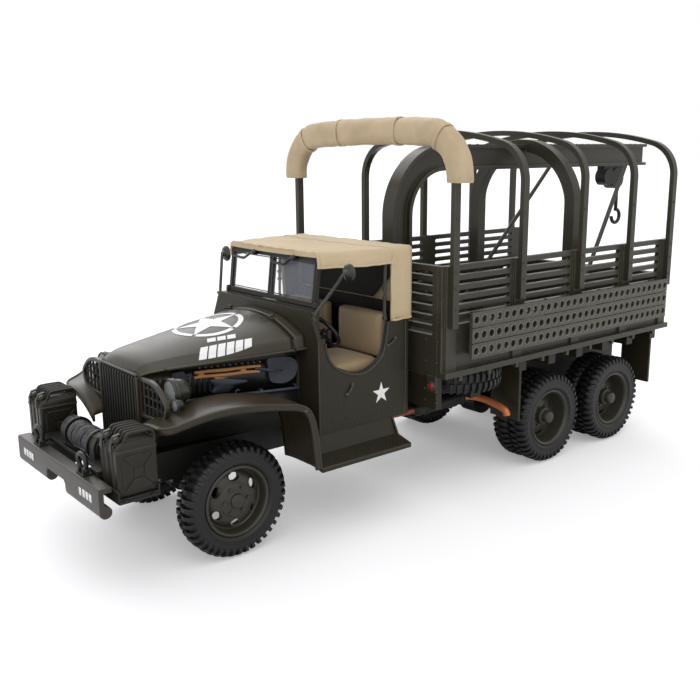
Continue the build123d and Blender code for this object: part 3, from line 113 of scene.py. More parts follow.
def addSky():
    # the room lights the truck dimly, and looks white behind it, in gloss and through glass
    world = bpy.data.worlds.new("studioSky")
    world.use_nodes = True
    tree = world.node_tree
    tree.nodes.clear()
    output = tree.nodes.new("ShaderNodeOutputWorld")
    mix = tree.nodes.new("ShaderNodeMixShader")
    path = tree.nodes.new("ShaderNodeLightPath")
    seen = path.outputs["Is Camera Ray"]
    for ray in ("Is Glossy Ray", "Is Transmission Ray"):
        either = tree.nodes.new("ShaderNodeMath")
        either.operation = "MAXIMUM"
        tree.links.new(seen, either.inputs[0])
        tree.links.new(path.outputs[ray], either.inputs[1])
        seen = either.outputs[0]
    tree.links.new(seen, mix.inputs["Fac"])
    for strength, socket in ((studio["skyStrength"], 1), (studio["seenStrength"], 2)):
        background = tree.nodes.new("ShaderNodeBackground")
        setInputs(background, Color=studio["skyColour"], Strength=strength)
        tree.links.new(background.outputs[0], mix.inputs[socket])
    tree.links.new(mix.outputs[0], output.inputs["Surface"])
    bpy.context.scene.world = world


def addFloor():
    bpy.ops.mesh.primitive_plane_add(size=studio["floorSize"], location=(0, 0, -studio["floorDrop"]))
    floor = bpy.context.object
    floor.name = "studioFloor"
    material = bpy.data.materials.new("floorPaper")
    material.use_nodes = True
    tree = material.node_tree
    shader = tree.nodes["Principled BSDF"]
    setInputs(shader, Base_Color=studio["floorTint"], Roughness=studio["floorRoughness"], Specular_IOR_Level=0.0,
              Emission_Strength=studio["floorGlow"])
    path = tree.nodes.new("ShaderNodeLightPath")
    tree.links.new(path.outputs["Is Camera Ray"], shader.inputs["Emission Color"])
    floor.data.materials.append(material)


for row in suns:
    addSun(*row)
addSky()
addFloor()
bpy.context.scene.view_settings.view_transform = "Standard"
print("studio lit")


def newGroup(name, inputs, outputs):
    # a shader node group; inputs: (name, socket type, default); outputs: (name, socket type)
    group = bpy.data.node_groups.new(name, "ShaderNodeTree")
    for label, kind, default in inputs:
        socket = group.interface.new_socket(name=label, in_out="INPUT", socket_type=kind)
        socket.default_value = default
    for label, kind in outputs:
        group.interface.new_socket(name=label, in_out="OUTPUT", socket_type=kind)
    source = group.nodes.new("NodeGroupInput")
    sink = group.nodes.new("NodeGroupOutput")
    return group, source, sink


def plug(tree, value, socket):
    # a number or colour is set on the socket, an output is linked to it
    if isinstance(value, (int, float, tuple)):
        socket.default_value = value
    elif value is not None:
        tree.links.new(value, socket)


def mathNode(tree, operation, first, second=None, clamp=False):
    node = tree.nodes.new("ShaderNodeMath")
    node.operation = operation
    node.use_clamp = clamp
    plug(tree, first, node.inputs[0])
    plug(tree, second, node.inputs[1])
    return node.outputs[0]


def times(tree, first, second, clamp=False):
    return mathNode(tree, "MULTIPLY", first, second, clamp)


def noiseNode(tree, vector, scale, detail=3.0, roughness=0.5):
    node = tree.nodes.new("ShaderNodeTexNoise")
    setInputs(node, Detail=detail, Roughness=roughness)
    plug(tree, scale, node.inputs["Scale"])
    plug(tree, vector, node.inputs["Vector"])
    return node.outputs["Fac"]


def spread(tree, factor, low, high):
    # stretches low..high to 0..1
    node = tree.nodes.new("ShaderNodeMapRange")
    setInputs(node, From_Min=low, From_Max=high)
    plug(tree, factor, node.inputs["Value"])
    return node.outputs["Result"]


def mixColour(tree, factor, first, second):
    node = tree.nodes.new("ShaderNodeMix")
    node.data_type = "RGBA"
    plug(tree, factor, node.inputs["Factor"])
    plug(tree, first, node.inputs[6])
    plug(tree, second, node.inputs[7])
    return node.outputs[2]


def objectPlace(tree):
    return tree.nodes.new("ShaderNodeTexCoord").outputs["Object"]


# the edge mask below sets where edges take a lighter colour: partly wear, partly a painted highlight along the edges
wearAndSheenLook = {"samples": 4, "firstTurn": 0.02, "fullTurn": 0.22, "patchScale": 900.0, "patch": (0.35, 0.65)}


def buildEdgeMask():
    # how far a small rounding would turn the surface away from its flat face
    group, source, sink = newGroup(
        "edgeMask", (("Radius", "NodeSocketFloat", 0.00025), ("Breakup", "NodeSocketFloat", 0.5)),
        (("Mask", "NodeSocketFloat"), ("Normal", "NodeSocketVector")))
    bevel = group.nodes.new("ShaderNodeBevel")
    bevel.samples = wearAndSheenLook["samples"]
    geometry = group.nodes.new("ShaderNodeNewGeometry")
    dot = group.nodes.new("ShaderNodeVectorMath")
    dot.operation = "DOT_PRODUCT"
    plug(group, source.outputs["Radius"], bevel.inputs["Radius"])
    plug(group, bevel.outputs["Normal"], dot.inputs[0])
    plug(group, geometry.outputs["Normal"], dot.inputs[1])
    turned = mathNode(group, "SUBTRACT", 1.0, dot.outputs["Value"], clamp=True)
    sharp = spread(group, turned, wearAndSheenLook["firstTurn"], wearAndSheenLook["fullTurn"])
    patches = noiseNode(group, objectPlace(group), wearAndSheenLook["patchScale"], 4.0, 0.6)
    patchy = spread(group, patches, *wearAndSheenLook["patch"])
    wornAndSheen = times(group, sharp, patchy)
    keep = mathNode(group, "SUBTRACT", 1.0, source.outputs["Breakup"])
    solid = times(group, sharp, keep)
    broken = times(group, wornAndSheen, source.outputs["Breakup"])
    plug(group, mathNode(group, "ADD", solid, broken, clamp=True), sink.inputs["Mask"])
    plug(group, bevel.outputs["Normal"], sink.inputs["Normal"])
    return group


coatLook = {"blotchScale": 160.0, "speckScale": 2300.0, "speck": (0.3, 0.75), "upward": (0.3, 1.0),
            "blotchGloss": 0.18, "dustGloss": 0.35}


def buildCoatGrain():
    # sprayed or moulded finish: orange peel, soft blotches, and dust that lies on upward faces
    group, source, sink = newGroup(
        "coatGrain",
        (("Base", "NodeSocketColor", (0.05, 0.05, 0.04, 1)), ("Blotch", "NodeSocketFloat", 0.25),
         ("Dust", "NodeSocketFloat", 0.1), ("Dust Colour", "NodeSocketColor", (0.2, 0.19, 0.15, 1)),
         ("Roughness", "NodeSocketFloat", 0.45), ("Grain Scale", "NodeSocketFloat", 5200.0)),
        (("Colour", "NodeSocketColor"), ("Roughness", "NodeSocketFloat"), ("Height", "NodeSocketFloat")))
    place = objectPlace(group)
    blotch = noiseNode(group, place, coatLook["blotchScale"], 4.0, 0.55)
    speck = noiseNode(group, place, coatLook["speckScale"], 3.0, 0.6)
    shift = mathNode(group, "SUBTRACT", blotch, 0.5)
    gain = mathNode(group, "ADD", times(group, shift, source.outputs["Blotch"]), 1.0)
    scaled = group.nodes.new("ShaderNodeVectorMath")
    scaled.operation = "SCALE"
    plug(group, source.outputs["Base"], scaled.inputs[0])
    plug(group, gain, scaled.inputs["Scale"])
    split = group.nodes.new("ShaderNodeSeparateXYZ")
    plug(group, group.nodes.new("ShaderNodeNewGeometry").outputs["Normal"], split.inputs[0])
    upward = spread(group, split.outputs["Z"], *coatLook["upward"])
    settled = times(group, upward, source.outputs["Dust"])
    dusty = times(group, settled, spread(group, speck, *coatLook["speck"]), clamp=True)
    plug(group, mixColour(group, dusty, scaled.outputs[0], source.outputs["Dust Colour"]), sink.inputs["Colour"])
    uneven = times(group, shift, coatLook["blotchGloss"])
    rough = mathNode(group, "ADD", source.outputs["Roughness"], uneven)
    dulled = times(group, dusty, coatLook["dustGloss"])
    plug(group, mathNode(group, "ADD", rough, dulled, clamp=True), sink.inputs["Roughness"])
    plug(group, noiseNode(group, place, source.outputs["Grain Scale"], 2.0, 0.5), sink.inputs["Height"])
    return group


weaveLook = {"grimeScale": 210.0, "grime": (0.35, 0.8), "fibreScale": 3500.0, "foldScale": 420.0, "crossing": 0.25}


def buildClothRelief():
    # plain weave and grime in the folds of moulded canvas
    group, source, sink = newGroup(
        "clothRelief",
        (("Base", "NodeSocketColor", (0.5, 0.4, 0.25, 1)), ("Shade", "NodeSocketColor", (0.3, 0.22, 0.12, 1)),
         ("Thread Scale", "NodeSocketFloat", 2600.0), ("Grime", "NodeSocketFloat", 0.5)),
        (("Colour", "NodeSocketColor"), ("Height", "NodeSocketFloat"), ("Fold Height", "NodeSocketFloat")))
    place = objectPlace(group)
    split = group.nodes.new("ShaderNodeSeparateXYZ")
    plug(group, place, split.inputs[0])
    threads = []
    for axis in ("X", "Y", "Z"):
        wave = times(group, split.outputs[axis], source.outputs["Thread Scale"])
        threads.append(mathNode(group, "SINE", times(group, wave, 2 * math.pi)))
    crossed = times(group, mathNode(group, "ADD", threads[0], threads[2]), threads[1])
    grime = noiseNode(group, place, weaveLook["grimeScale"], 5.0, 0.6)
    fine = noiseNode(group, place, weaveLook["fibreScale"], 2.0, 0.5)
    shade = times(group, spread(group, grime, *weaveLook["grime"]), source.outputs["Grime"])
    plug(group, mixColour(group, shade, source.outputs["Base"], source.outputs["Shade"]), sink.inputs["Colour"])
    woven = times(group, crossed, weaveLook["crossing"])
    plug(group, mathNode(group, "ADD", woven, fine), sink.inputs["Height"])
    plug(group, noiseNode(group, place, weaveLook["foldScale"], 3.0, 0.5), sink.inputs["Fold Height"])
    return group


edgeMask = buildEdgeMask()
coatGrain = buildCoatGrain()
clothRelief = buildClothRelief()


def placeGroup(tree, group, **values):
    node = tree.nodes.new("ShaderNodeGroup")
    node.node_tree = group
    setInputs(node, **values)
    return node


def startMaterial(name):
    material = bpy.data.materials.new(name)
    material.use_nodes = True
    materials[name] = material
    return material.node_tree, material.node_tree.nodes["Principled BSDF"]


def addBump(tree, height, strength, distance, under=None):
    bump = tree.nodes.new("ShaderNodeBump")
    setInputs(bump, Strength=strength, Distance=distance)
    plug(tree, height, bump.inputs["Height"])
    plug(tree, under, bump.inputs["Normal"])
    return bump.outputs["Normal"]


# colour, lighter colour of the edges (partly wear, partly painted highlight), roughness, blotches, settled dust,
# grain depth and edge rounding in millimetres, gloss level and how strongly the edges take that lighter colour
finishParts = ("base", "wornAndSheen", "roughness", "blotch", "dust", "grain", "edge", "specular", "wearAndSheen")
paintFinishes = {
    "oliveBody": ((0.029, 0.0235, 0.013), (0.15, 0.132, 0.092), 0.3, 0.35, 0.1, 0.01, 0.2, 0.36, 0.65),
    "oliveCab": ((0.0255, 0.0215, 0.0125), (0.1, 0.09, 0.062), 0.36, 0.4, 0.08, 0.009, 0.18, 0.24, 0.6),
    "oliveBed": ((0.038, 0.034, 0.023), (0.21, 0.195, 0.15), 0.32, 0.45, 0.2, 0.012, 0.2, 0.34, 0.75),
    # lighter, glossier paint for the rims round the plank holes: painted highlight on the rims
    "plankRimHighlight": ((0.105, 0.098, 0.074), (0.34, 0.32, 0.26), 0.22, 0.3, 0.05, 0.008, 0.16, 0.6, 0.7),
    # plank panel paint, lighter than the bed's: partly its own tone, partly painted sheen standing for the panels'
    # highlights
    "olivePlankAndSheen": ((0.066, 0.06, 0.044), (0.3, 0.28, 0.22), 0.3, 0.45, 0.2, 0.012, 0.22, 0.4, 0.8),
    "oliveChassis": ((0.011, 0.011, 0.009), (0.055, 0.054, 0.044), 0.46, 0.4, 0.12, 0.015, 0.16, 0.3, 0.5),
    "oliveRim": ((0.036, 0.033, 0.023), (0.15, 0.145, 0.115), 0.34, 0.35, 0.1, 0.01, 0.12, 0.38, 0.6),
    "toolSteel": ((0.026, 0.029, 0.044), (0.22, 0.23, 0.3), 0.36, 1.0, 0.8, 0.13, 0.18, 0.5, 0.9),
    "toolWood": ((0.42, 0.2, 0.075), (0.6, 0.36, 0.18), 0.5, 0.9, 0.1, 0.025, 0.14, 0.4, 0.6),
    "blackPart": ((0.007, 0.007, 0.0075), (0.075, 0.075, 0.07), 0.32, 0.3, 0.1, 0.01, 0.12, 0.4, 0.6),
    "cabDarkSheet": ((0.012, 0.01, 0.008), (0.04, 0.036, 0.03), 0.6, 0.4, 0.05, 0.012, 0.14, 0.2, 0.4),
    "tyreRubber": ((0.0075, 0.0075, 0.0085), (0.03, 0.03, 0.034), 0.44, 0.5, 0.15, 0.012, 0.1, 0.38, 0.6),
    "copperPipe": ((0.26, 0.07, 0.026), (0.5, 0.2, 0.09), 0.38, 0.8, 0.1, 0.01, 0.15, 0.5, 0.6),
    "whiteMark": ((0.84, 0.84, 0.84), (0.78, 0.78, 0.76), 0.42, 0.1, 0.05, 0.006, 0.05, 0.4, 0.1),
    "oliveBumper": ((0.046, 0.039, 0.033), (0.16, 0.145, 0.12), 0.38, 0.35, 0.12, 0.012, 0.22, 0.38, 0.65),
    "oliveCan": ((0.018, 0.0165, 0.011), (0.17, 0.16, 0.122), 0.33, 0.35, 0.08, 0.012, 0.18, 0.28, 0.8),
    "oliveLamp": ((0.02, 0.02, 0.014), (0.24, 0.24, 0.2), 0.24, 0.25, 0.08, 0.008, 0.12, 0.45, 0.7),
    "ropeSteel": ((0.026, 0.024, 0.026), (0.16, 0.15, 0.17), 0.38, 0.6, 0.15, 0.03, 0.12, 0.5, 0.8),
    "tailCopper": ((0.5, 0.15, 0.05), (0.66, 0.3, 0.13), 0.36, 0.7, 0.05, 0.012, 0.15, 0.5, 0.5),
    "redLens": ((0.34, 0.012, 0.016), (0.5, 0.05, 0.05), 0.16, 0.2, 0.02, 0.004, 0.1, 0.6, 0.3),
    "bareSteel": ((0.3, 0.3, 0.3), (0.5, 0.5, 0.5), 0.32, 0.3, 0.05, 0.006, 0.08, 0.6, 0.5),
}
metalShare = {"bareSteel": 0.9, "toolSteel": 0.15, "copperPipe": 0.30, "tailCopper": 0.30}
coatValues = {"breakup": 0.55, "dustBrighter": 2.2, "bump": 0.5}
materials = {}


def solidColour(colour, gain=1.0):
    return tuple(gain * part for part in colour) + (1.0,)


def paintMaterial(name, finish):
    tree, shader = startMaterial(name)
    edge = placeGroup(tree, edgeMask, Radius=finish["edge"] * mm, Breakup=coatValues["breakup"])
    dust = solidColour(finish["base"], coatValues["dustBrighter"])
    coat = placeGroup(tree, coatGrain, Base=solidColour(finish["base"]), Blotch=finish["blotch"], Dust=finish["dust"],
                      Dust_Colour=dust, Roughness=finish["roughness"])
    # edges get the lighter colour, which is partly wear and partly a painted highlight
    rubbedAndSheen = times(tree, edge.outputs["Mask"], finish["wearAndSheen"])
    wornAndSheen = mixColour(tree, rubbedAndSheen, coat.outputs["Colour"], solidColour(finish["wornAndSheen"]))
    plug(tree, wornAndSheen, shader.inputs["Base Color"])
    plug(tree, coat.outputs["Roughness"], shader.inputs["Roughness"])
    grain = addBump(tree, coat.outputs["Height"], coatValues["bump"], finish["grain"] * mm, edge.outputs["Normal"])
    plug(tree, grain, shader.inputs["Normal"])
    setInputs(shader, Specular_IOR_Level=finish["specular"], Metallic=metalShare.get(name, 0.0))


for finishName, values in paintFinishes.items():
    paintMaterial(finishName, dict(zip(finishParts, values)))

clothFinishes = {   # moulded canvas and seats; weave and fold are depths in metres
    "canvasTan": {"base": (0.60, 0.475, 0.305, 1), "shade": (0.42, 0.31, 0.175, 1), "roughness": 0.62,
                  "thread": 2400.0, "grime": 0.45, "weave": 0.000020, "fold": 0.00005},
    "rollTan": {"base": (0.56, 0.440, 0.285, 1), "shade": (0.35, 0.255, 0.150, 1), "roughness": 0.60,
                "thread": 2400.0, "grime": 0.6, "weave": 0.000020, "fold": 0.00007},
    "seatTan": {"base": (0.38, 0.285, 0.17, 1), "shade": (0.26, 0.18, 0.10, 1), "roughness": 0.50,
                "thread": 1800.0, "grime": 0.35, "weave": 0.000010, "fold": 0.00003},
}


def clothMaterial(name, finish):
    tree, shader = startMaterial(name)
    cloth = placeGroup(tree, clothRelief, Base=finish["base"], Shade=finish["shade"],
                       Thread_Scale=finish["thread"], Grime=finish["grime"])
    plug(tree, cloth.outputs["Colour"], shader.inputs["Base Color"])
    folds = addBump(tree, cloth.outputs["Fold Height"], 0.6, finish["fold"])
    plug(tree, addBump(tree, cloth.outputs["Height"], 0.6, finish["weave"], folds), shader.inputs["Normal"])
    setInputs(shader, Roughness=finish["roughness"], Specular_IOR_Level=0.35, Sheen_Weight=0.12)


for finishName, finish in clothFinishes.items():
    clothMaterial(finishName, finish)

glassLook = {"screenTint": (0.62, 0.65, 0.74, 1), "screenAlpha": 0.15, "lensTint": (0.30, 0.32, 0.31, 1),
             "mirrorTint": (0.55, 0.57, 0.58, 1), "smearScale": 260.0, "smearTone": 0.8, "smearGloss": 0.08}


def glassMaterial(name, tint, alpha, roughness):
    tree, shader = startMaterial(name)
    smear = noiseNode(tree, objectPlace(tree), glassLook["smearScale"], 4.0, 0.6)
    smeared = mixColour(tree, spread(tree, smear, 0.3, 0.8), tint, solidColour(tint[:3], glassLook["smearTone"]))
    plug(tree, smeared, shader.inputs["Base Color"])
    dull = times(tree, smear, glassLook["smearGloss"])
    plug(tree, mathNode(tree, "ADD", dull, roughness), shader.inputs["Roughness"])
    setInputs(shader, Alpha=alpha, Specular_IOR_Level=0.8)
    return shader


glassMaterial("screenGlass", glassLook["screenTint"], glassLook["screenAlpha"], 0.02)
glassMaterial("lampGlass", glassLook["lensTint"], 0.9, 0.04)
setInputs(glassMaterial("mirrorGlass", glassLook["mirrorTint"], 1.0, 0.02), Metallic=0.95)
print("materials made:", len(materials))


def turnsRound(count, half=0.0):
    # evenly spaced angles round a circle, from half a step on where half is 0.5
    return [2 * math.pi * (step + half) / count for step in range(count)]


class Shape:
    # points in drawing millimetres and the faces between them
    def __init__(self):
        self.points = []
        self.faces = []

    def add(self, points, faces):
        start = len(self.points)
        self.points.extend(tuple(point) for point in points)
        self.faces.extend(tuple(start + index for index in face) for face in faces)

    def skin(self, rows, ring=True, loop=False, caps=True):
        # rows of equally many points; ring joins each row's ends, loop joins the last row to the first
        width = len(rows[0])
        points = [point for row in rows for point in row]
        faces = []
        rowPairs = [(row, row + 1) for row in range(len(rows) - 1)] + ([(len(rows) - 1, 0)] if loop else [])
        sides = [(step, (step + 1) % width) for step in range(width if ring else width - 1)]
        for low, high in rowPairs:
            for left, right in sides:
                faces.append((low * width + left, low * width + right, high * width + right, high * width + left))
        if caps and ring and not loop:
            faces.append(tuple(reversed(range(width))))
            faces.append(tuple(range((len(rows) - 1) * width, len(rows) * width)))
        self.add(points, faces)

    def box(self, low, high):
        rows = [[(x, low[1], low[2]), (x, high[1], low[2]), (x, high[1], high[2]), (x, low[1], high[2])]
                for x in (low[0], high[0])]
        self.skin(rows)

    def prism(self, outline, low, high, axis="y"):
        # outline of two coordinates, run along the third
        place = {"x": lambda a, b, along: (along, a, b), "y": lambda a, b, along: (a, along, b),
                 "z": lambda a, b, along: (a, b, along)}[axis]
        self.skin([[place(a, b, along) for a, b in outline] for along in (low, high)])

    def tube(self, path, radius, steps=10, loop=False, flat=1.0):
        # round bar along a path; radius may be a list; flat squeezes it in the second direction
        vectors = [Vector(point) for point in path]
        count = len(vectors)
        rows = []
        across = None
        for index, here in enumerate(vectors):
            before = vectors[(index - 1) % count] if loop or index else here
            after = vectors[(index + 1) % count] if loop or index < count - 1 else here
            along = (after - before).normalized()
            if across is None:
                guide = Vector((0, 0, 1)) if abs(along.z) < 0.9 else Vector((1, 0, 0))
                across = along.cross(guide).normalized()
            across = (across - along * across.dot(along)).normalized()
            up = across.cross(along)
            size = radius[index] if isinstance(radius, (list, tuple)) else radius
            rows.append([here + size * (math.cos(turn) * across + flat * math.sin(turn) * up)
                         for turn in turnsRound(steps)])
        self.skin(rows, loop=loop)

    def strip(self, path, outs, width, thickness):
        # flat bar along a path; outs are the directions its broad face looks
        rows = []
        vectors = [Vector(point) for point in path]
        for index, here in enumerate(vectors):
            before = vectors[max(index - 1, 0)]
            after = vectors[min(index + 1, len(vectors) - 1)]
            out = Vector(outs[index] if isinstance(outs, list) else outs).normalized()
            side = (after - before).cross(out).normalized() * width / 2
            rows.append([here - side, here + side, here + side + out * thickness, here - side + out * thickness])
        self.skin(rows)

    def lathe(self, profile, centre, axis="y", steps=48, closed=False, side=1):
        # turns a profile of (radius, distance along the axis from the centre)
        rows = []
        for turn in turnsRound(steps):
            row = []
            for radius, along in profile:
                a, b = radius * math.cos(turn), radius * math.sin(turn)
                offset = {"y": (a, side * along, b), "x": (side * along, a, b), "z": (a, b, side * along)}[axis]
                row.append(tuple(centre[k] + offset[k] for k in range(3)))
            rows.append(row)
        self.skin(rows, ring=closed, loop=True, caps=False)

    def mirrorAcross(self):
        # adds the same shape on the other side of the centre plane
        points = [(x, -y, z) for x, y, z in self.points]
        faces = [tuple(reversed(face)) for face in self.faces]
        self.add(points, faces)


def buildMesh(name, shape):
    # welds what meets and turns all faces outwards
    mesh = bpy.data.meshes.new(name)
    mesh.from_pydata([at(*point) for point in shape.points], [], shape.faces)
    work = bmesh.new()
    work.from_mesh(mesh)
    bmesh.ops.remove_doubles(work, verts=work.verts, dist=1e-7)
    bmesh.ops.dissolve_degenerate(work, dist=1e-7, edges=work.edges)
    bmesh.ops.recalc_face_normals(work, faces=work.faces)
    work.to_mesh(mesh)
    work.free()
    return mesh


pieceLook = {"sharp": 34, "bevelSegments": 2, "bevelAngle": 35}


def addPiece(name, shape, finish, body="root", stands=(), sharp=pieceLook["sharp"], bevel=0.0, level=0,
             sheet=0.0):
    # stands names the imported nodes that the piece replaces
    mesh = buildMesh(name, shape)
    piece = bpy.data.objects.new(name, mesh)
    bpy.context.scene.collection.objects.link(piece)
    mesh.materials.append(materials[finish])
    mesh.polygons.foreach_set("use_smooth", [True] * len(mesh.polygons))
    if level:
        modifier = piece.modifiers.new("smooth", "SUBSURF")
        modifier.levels = modifier.render_levels = level
    else:
        mesh.set_sharp_from_angle(angle=math.radians(sharp))
    if sheet:
        modifier = piece.modifiers.new("sheet", "SOLIDIFY")
        modifier.thickness = sheet * mm
        modifier.offset = -1
    if bevel:
        modifier = piece.modifiers.new("edges", "BEVEL")
        modifier.width = bevel * mm
        modifier.segments = pieceLook["bevelSegments"]
        modifier.limit_method = "ANGLE"
        modifier.angle_limit = math.radians(pieceLook["bevelAngle"])
    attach(piece, body)
    if stands:
        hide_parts(*stands)
    return piece


def cutPiece(piece, shape):
    # takes a shape out of a piece and keeps the result as the piece's own mesh
    cutter = bpy.data.objects.new("cutter", buildMesh("cutter", shape))
    bpy.context.scene.collection.objects.link(cutter)
    modifier = piece.modifiers.new("cut", "BOOLEAN")
    modifier.operation = "DIFFERENCE"
    modifier.solver = "EXACT"
    modifier.object = cutter
    bpy.context.view_layer.update()
    evaluated = piece.evaluated_get(bpy.context.evaluated_depsgraph_get())
    mesh = bpy.data.meshes.new_from_object(evaluated)
    piece.modifiers.clear()
    piece.data = mesh
    bpy.data.objects.remove(cutter)
    mesh.polygons.foreach_set("use_smooth", [True] * len(mesh.polygons))
    mesh.set_sharp_from_angle(angle=math.radians(pieceLook["sharp"]))


def between(low, high, share):
    return low + (high - low) * share


def spaced(start, end, count):
    # evenly spaced values, both ends included
    return [between(start, end, index / (count - 1)) for index in range(count)]


def ease(share):
    share = min(max(share, 0.0), 1.0)
    return share * share * (3 - 2 * share)


def mirrorAll(*shapes):
    for shape in shapes:
        shape.mirrorAcross()


def polar(centre, radius, bearing):
    # a point round a centre, bearing in degrees
    turn = math.radians(bearing)
    return (centre[0] + radius * math.cos(turn), centre[1] + radius * math.sin(turn))


def hexagon(a, b, size):
    return [polar((a, b), size, 60 * step) for step in range(6)]


def roundArc(centre, radius, start, end, steps):
    # points (a, b) on an arc, angles in degrees
    return [polar(centre, radius, bearing) for bearing in spaced(start, end, steps + 1)]


def along(rows, x):
    # smooth values at x from rows of (x, value, ...), falling x
    x = min(max(x, rows[-1][0]), rows[0][0])
    for index in range(len(rows) - 1):
        if rows[index + 1][0] <= x:
            break
    high, low = rows[index], rows[index + 1]
    higher, lower = rows[max(index - 1, 0)], rows[min(index + 2, len(rows) - 1)]
    span = high[0] - low[0]
    share = (high[0] - x) / span
    values = []
    for column in range(1, len(high)):
        leave = (low[column] - higher[column]) / max(higher[0] - low[0], 1e-6) * span
        arrive = (lower[column] - high[column]) / max(high[0] - lower[0], 1e-6) * span
        values.append((2 * share ** 3 - 3 * share ** 2 + 1) * high[column]
                      + (share ** 3 - 2 * share ** 2 + share) * leave
                      + (3 * share ** 2 - 2 * share ** 3) * low[column] + (share ** 3 - share ** 2) * arrive)
    return values


def resample(points, count):
    # the same path in evenly long steps
    lengths = [0.0]
    for a, b in zip(points, points[1:]):
        lengths.append(lengths[-1] + math.dist(a, b))
    result = []
    for step in range(count):
        target = lengths[-1] * step / (count - 1)
        index = max(i for i in range(len(lengths)) if lengths[i] <= target + 1e-9)
        index = min(index, len(points) - 2)
        share = (target - lengths[index]) / max(lengths[index + 1] - lengths[index], 1e-9)
        result.append(tuple(between(a, b, share) for a, b in zip(points[index], points[index + 1])))
    return result


def smoothPath(points, count, closed=False):
    # points on a round curve through the given ones
    total = len(points)
    spans = total if closed else total - 1
    result = []
    for span in range(spans):
        p = [points[(span + k) % total] if closed else points[min(max(span + k, 0), total - 1)]
             for k in (-1, 0, 1, 2)]
        for step in range(count):
            t = step / count
            result.append(tuple(0.5 * (2 * p[1][k] + (p[2][k] - p[0][k]) * t
                                       + (2 * p[0][k] - 5 * p[1][k] + 4 * p[2][k] - p[3][k]) * t * t
                                       + (3 * p[1][k] - p[0][k] - 3 * p[2][k] + p[3][k]) * t ** 3)
                                for k in range(len(p[0]))))
    if not closed:
        result.append(tuple(points[-1]))
    return result

tyreLook = {"radius": 10.85, "bead": 6.79, "lugCount": 42, "lugHeight": 0.72, "lugShare": 0.62, "stagger": 0.5,
            "grooveHalf": 0.14, "lugSkew": 0.16, "turnedTwin": 0.3}
axleX = {"front": 0.0, "middle": -84.18, "rear": -109.44}
# along a tread block: share of its width, how far it reaches outward and how far it leans to the side
lugSteps = ((1.0, 1.0, 0.0), (1.0, 1.0, 0.0), (0.96, 1.0, 0.0), (0.9, 0.75, 0.55), (0.82, 0.45, 0.85), (0.7, 0.35, 0.9))


def tyreSection(half):
    # carcass under the lugs, from the inner bead over the tread to the outer bead: (radius, along)
    floor = tyreLook["radius"] - tyreLook["lugHeight"]
    bead = tyreLook["bead"]
    side = [(bead, half - 0.75), (bead + 0.1, half - 0.45), (bead + 0.45, half - 0.12), (7.42, half - 0.03),
            (7.5, half + 0.0), (7.6, half - 0.03), (8.6, half - 0.02), (8.72, half + 0.03), (8.84, half - 0.02),
            (9.3, half - 0.10), (9.75, half - 0.42), (floor - 0.06, half - 0.95), (floor, half - 1.5)]
    return side + [(radius, -run) for radius, run in reversed(side)]


def lugRows(half, side):
    # one tread block from the middle groove, over the shoulder and a little down the side: (radius, along, height)
    floor = tyreLook["radius"] - tyreLook["lugHeight"]
    tall = tyreLook["lugHeight"]
    return [(floor - 0.1, side * tyreLook["grooveHalf"], tall), (floor - 0.1, side * (half * 0.45), tall + 0.1),
            (floor - 0.1, side * (half - 1.0), tall + 0.04), (9.75, side * (half - 0.5), 0.72),
            (9.35, side * (half - 0.22), 0.42), (8.95, side * (half - 0.12), 0.10)]


def addTyre(shape, centre, half, axis="y", turned=0.0):
    shape.lathe(tyreSection(half), centre, axis, 96, closed=True)
    pitch = 2 * math.pi / tyreLook["lugCount"]
    for side in (1, -1):
        for index in range(tyreLook["lugCount"]):
            start = pitch * (index + (tyreLook["stagger"] if side > 0 else 0) + turned)
            rows = []
            for step, (radius, run, height) in enumerate(lugRows(half, side)):
                narrow, outward, lean = lugSteps[step]
                wide = pitch * tyreLook["lugShare"] * narrow
                skew = pitch * tyreLook["lugSkew"] * step / 5 * side
                row = []
                for edge, lift in ((-0.5, 0.0), (-0.40, 1.0), (0.40, 1.0), (0.5, 0.0)):
                    turn = start + wide * edge + skew
                    reach = radius + height * lift * outward
                    sideways = run + side * height * lift * lean
                    a, b = reach * math.cos(turn), reach * math.sin(turn)
                    offset = (a, sideways, b) if axis == "y" else (a, b, sideways)
                    row.append(tuple(centre[k] + offset[k] for k in range(3)))
                rows.append(row)
            shape.skin(rows)


tyreRows = (   # node stem, axle, half width, distances of the tyres' middles from the centre plane
    ("front_tyre", "front", 2.5, (16.57,)),
    ("middle_tyres", "middle", 2.2, (17.0, 22.0)),
    ("rear_tyres", "rear", 2.2, (17.0, 22.0)),
)
for stem, axle, half, middles in tyreRows:
    for sideName, side in (("left", 1), ("right", -1)):
        shape = Shape()
        for order, middle in enumerate(middles):
            centre = (axleX[axle], side * middle, tyreLook["radius"])
            addTyre(shape, centre, half, turned=tyreLook["turnedTwin"] * order)
        node = stem + "_" + sideName
        addPiece(node + "_tread", shape, "tyreRubber", body=axle + "_wheelset", stands=(node,), sharp=28)
spareLook = {"x": -59.4, "y": 15.2, "z": 24.65, "half": 2.45}
spareShape = Shape()
addTyre(spareShape, (spareLook["x"], spareLook["y"], spareLook["z"]), spareLook["half"], axis="z")
addPiece("spare_tyre_tread", spareShape, "tyreRubber", stands=("spare_tyre",), sharp=28)
print("tyres made")

rimLook = {"holeRing": 4.45, "holeLong": 1.15, "holeShort": 0.78, "holes": 6, "holeFront": 0.9, "holeBack": -1.4,
           "lipBar": 0.15, "lipGrow": 0.06, "boltRing": 2.55, "boltSize": 0.36, "boltHeight": 0.34}
